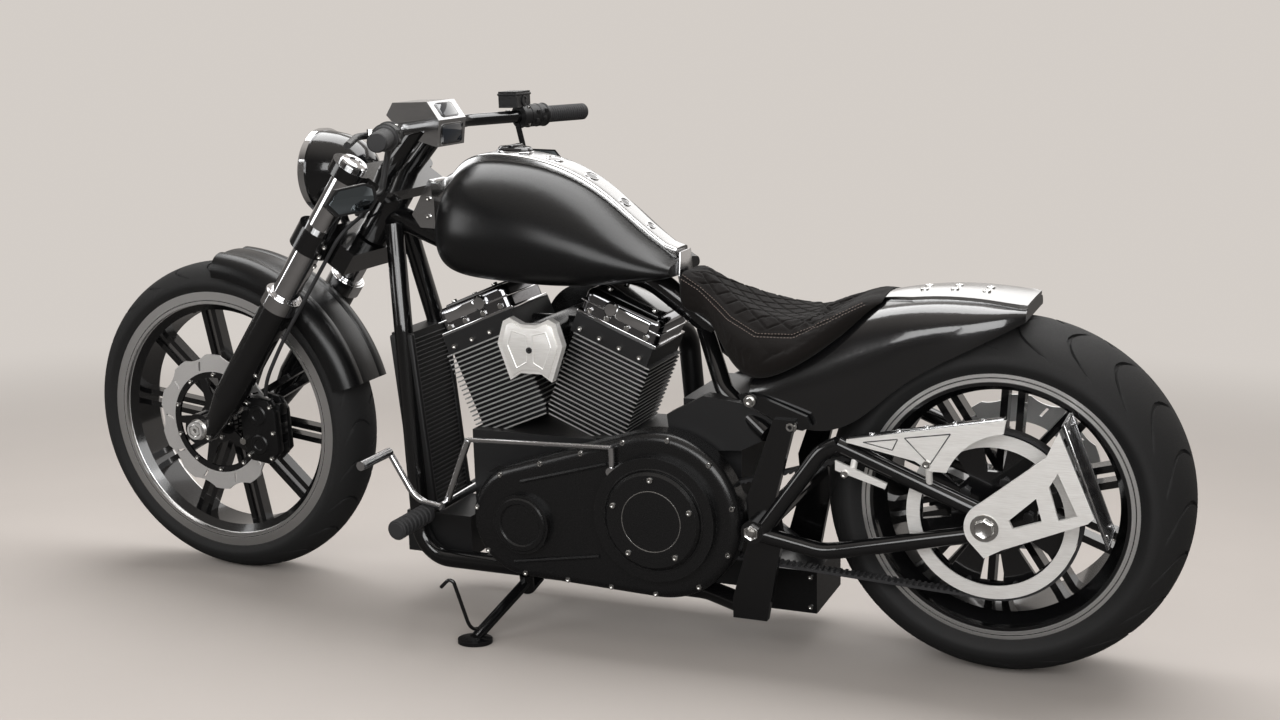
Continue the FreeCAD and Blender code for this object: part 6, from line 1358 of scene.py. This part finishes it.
insets, rims, end, cap, ring = (bmesh.new() for _ in range(5))
bottom, top = stations[-1][2] - 62, stations[-1][2] + 4
add(end, slab([(612, -28, top), (612, 28, top), (612, 36, bottom + 20), (612, 30, bottom),
               (612, -30, bottom), (612, -36, bottom + 20)], (3.6, 0, 0), 1.2))
for x, size in ((880, 20), (803, 17), (735, 14), (683, 11)):
    stand = on_spine(x) @ Matrix.Diagonal((1.0, 0.8, 1.0, 1.0))
    add(rims, washer(size - 2.5, size + 1.5, 3.2, 1.2, 40), stand @ moved(0, 0, -1.2))
    add(insets, spun([(size - 2.4, -0.4), (size - 2.4, 0.7), (0, 1.1)], 40), stand)
stand = on_spine(966)
add(cap, spun([(33.5, -2), (34, 5), (31, 8.5), (22, 9.5), (0, 10)], 64), stand)
add(cap, rounded_block((46, 13, 5), 2), stand @ moved(0, 0, 11))
add(ring, washer(34, 37, 3, 1, 64), moved(0, 0, -1.2) @ stand)
piece("spine_end", end, "chassis", polished)
piece("spine_insets", insets, "chassis", gloss_black)
piece("spine_rims", rims, "chassis", polished)
piece("fuel_cap", cap, "chassis", gloss_black)
piece("fuel_cap_ring", ring, "chassis", polished)
print("spine:", made_of["tank_spine"], "triangles")

# %% [markdown]
# Now come the small things that the eye expects on a motorcycle: screws in the fender's trim, in
# the struts and at the neck, the hexagons of the swingarm's pivot, the nuts of the rear axle, and
# a bright edge with screws and thin pocket outlines on the belt guard.

# %% Screws and nuts on the chassis
trim_tree = tree_of(["rear_fender_trim"])
STRUT_LEVEL, PIVOT, GUARD_LEVEL = 161, (418, 268), 207
loose = bmesh.new()
for side in (1, -1):
    for x in (150, 96, 40):
        level = top_of(trim_tree, x, 20 * side)
        if level is not None:
            add(loose, screw(7.5, 2.4), moved(x, 20 * side, level + 0.2))
    for x, z in ((1152, 800), (1150, 836)):
        add(loose, screw(5.5, 4), outward(x, 30.4, z, side))
    for x, z in ((433, 500), (356, 459)):
        add(loose, washer(4, 11.5, 2.4, 0.8, 36), outward(x, STRUT_LEVEL, z, side))
        add(loose, screw(8.2, 6), outward(x, STRUT_LEVEL + 2, z, side))
    add(loose, washer(6, 19, 3, 1, 48), outward(PIVOT[0], 197, PIVOT[1], side))
    add(loose, hexagon(15, 10, bore=6), outward(PIVOT[0], 199.5, PIVOT[1], side))
    add(loose, spun([(7, 0), (7, 12), (5.6, 13.5), (0, 14)], 28),
        outward(PIVOT[0], 199.5, PIVOT[1], side))
for x, z in ((102, 424), (245, 394)):
    add(loose, screw(7, 4.5), outward(x, GUARD_LEVEL + 0.3, z))
add(loose, hexagon(17, 9, bore=7), outward(0, 221.6, REAR_RADIUS))
add(loose, washer(16, 24, 3, 1, 48), outward(0, 219.4, REAR_RADIUS))
add(loose, hexagon(18, 11, bore=7), outward(0, 213.4, REAR_RADIUS, -1))
piece("chassis_screws", loose, "chassis", bolt_steel)

guards = bmesh.new()
pockets = bmesh.new()
for corners in (((212, 454), (152, 464), (161, 444)), ((140, 467), (62, 480), (96, 424))):
    for (x, z), (next_x, next_z) in zip(corners, corners[1:] + corners[:1]):
        add(pockets, run([(x, GUARD_LEVEL, z), (next_x, GUARD_LEVEL, next_z)], 1.1, 8,
                         smooth=False))
first, last = Vector((240, 0, 453)), Vector((-26, 0, 508))
add(guards, slab([(240, 184, 455), (240, 206, 455), (-26, 206, 509), (-26, 184, 509)],
                 (0.6, 0, 3.0), 0.8))
for index in range(5):
    at = first.lerp(last, 0.15 + 0.18 * index)
    add(guards, screw(5, 2.4, 16), moved(at.x, 195, at.z + 5.2))
piece("guard_edges", guards, "chassis", polished)
piece("guard_pockets", pockets, "chassis", dark_bolt)
print("chassis screws:", made_of["chassis_screws"], "triangles")

# %% [markdown]
# The drive belt shows its teeth on the two straight runs between the pulley and the sprocket. The
# runs are the common tangents of the two circles, so a little trigonometry gives where each tooth
# stands. A tooth is a small block on the belt's inner face, repeated along both runs.

# %% Belt teeth
PULLEY, PULLEY_RADIUS = Vector((0, 138, REAR_RADIUS)), 148.5
SPROCKET, SPROCKET_RADIUS = Vector((503, 138, 262)), 62
TOOTH_STEP = 11
gap = SPROCKET - PULLEY
belt_slope = math.atan2(gap.z, gap.x)
belt_spread = math.acos((PULLEY_RADIUS - SPROCKET_RADIUS) / gap.length)
ACROSS = Vector((0, 1, 0))
teeth = bmesh.new()
for sign in (1, -1):
    angle = belt_slope + belt_spread * sign
    first = polar(PULLEY, angle, PULLEY_RADIUS - 1)
    last = polar(SPROCKET, angle, SPROCKET_RADIUS - 1)
    count = int((last - first).length / TOOTH_STEP)
    along = (last - first).normalized()
    turn = axes(along, ACROSS, along.cross(ACROSS))
    for index in range(1, count):
        add(teeth, rounded_block((5.5, 23.4, 3.6), 0.8, 1),
            Matrix.Translation(first.lerp(last, index / count)) @ turn)
piece("belt_teeth", teeth, "chassis", soft_rubber)
print("belt teeth:", made_of["belt_teeth"], "triangles")

# %% [markdown]
# The bare plate at the left rear has a bright frame: four thin bars round its edge, with mitred
# corners. They are laid out flat in the plate's own plane and then tilted with it, and so are the
# four screws that hold the plate.

# %% Plate frame
tilt = math.radians(21)
plate_up = Vector((math.sin(tilt), 0, math.cos(tilt)))
plate_out = Vector((-math.cos(tilt), 0, math.sin(tilt)))
TOP = Vector((-121, 174, 511))
centre = TOP - plate_up * 109 + plate_out * 3.0
plate_place = Matrix.Translation(centre) @ axes(ACROSS, plate_up, plate_out)
bars = bmesh.new()
OUTER, INNER = (45.5, 108.5), (41, 104)
SIGNS = [(1, 1), (-1, 1), (-1, -1), (1, -1)]
for a, b in zip(SIGNS, SIGNS[1:] + SIGNS[:1]):
    corners = [(sign[0] * size[0], sign[1] * size[1], 0)
               for sign, size in ((a, OUTER), (b, OUTER), (b, INNER), (a, INNER))]
    add(bars, slab(corners, (0, 0, 2.2), 0.4), plate_place)
for x, y in SIGNS:
    add(bars, screw(4, 2.5, 16), plate_place @ moved(30 * x, 92 * y, 0.5))
piece("plate_frame", bars, "chassis", polished)
print("plate frame:", made_of["plate_frame"], "triangles")

# %% [markdown]
# The pegs get rubber sleeves with raised rings. Low down behind the engine, the silencer box is
# closed by screws at its corners on either side.

# %% Pegs and silencer box
pegs = bmesh.new()
for side in (1, -1):
    line = [(0, -2), (17.4, -2), (19.4, 0)]
    for index in range(7):
        start = 4 + index * 14
        line += [(19.4, start), (19.4, start + 8), (17.2, start + 10), (17.2, start + 12)]
    line += [(19.6, 102), (19.6, 107), (14, 111), (0, 111.5)]
    add(pegs, spun(line, 36), outward(1078, 228, 246, side))
piece("peg_sleeves", pegs, "chassis", soft_rubber)
tail = bmesh.new()
for z in (72, 132):
    for x in (358, 454):
        add(tail, screw(5, 3.5), outward(x, 130.4, z, -1))
        add(tail, screw(5, 3.5), outward(x, 36.4, z))
piece("box_screws", tail, "chassis", bolt_steel)
print("pegs:", made_of["peg_sleeves"], "triangles")

# %% [markdown]
# At the end the dressed machine's box is measured.

# %% Sizes and finish
low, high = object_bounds()
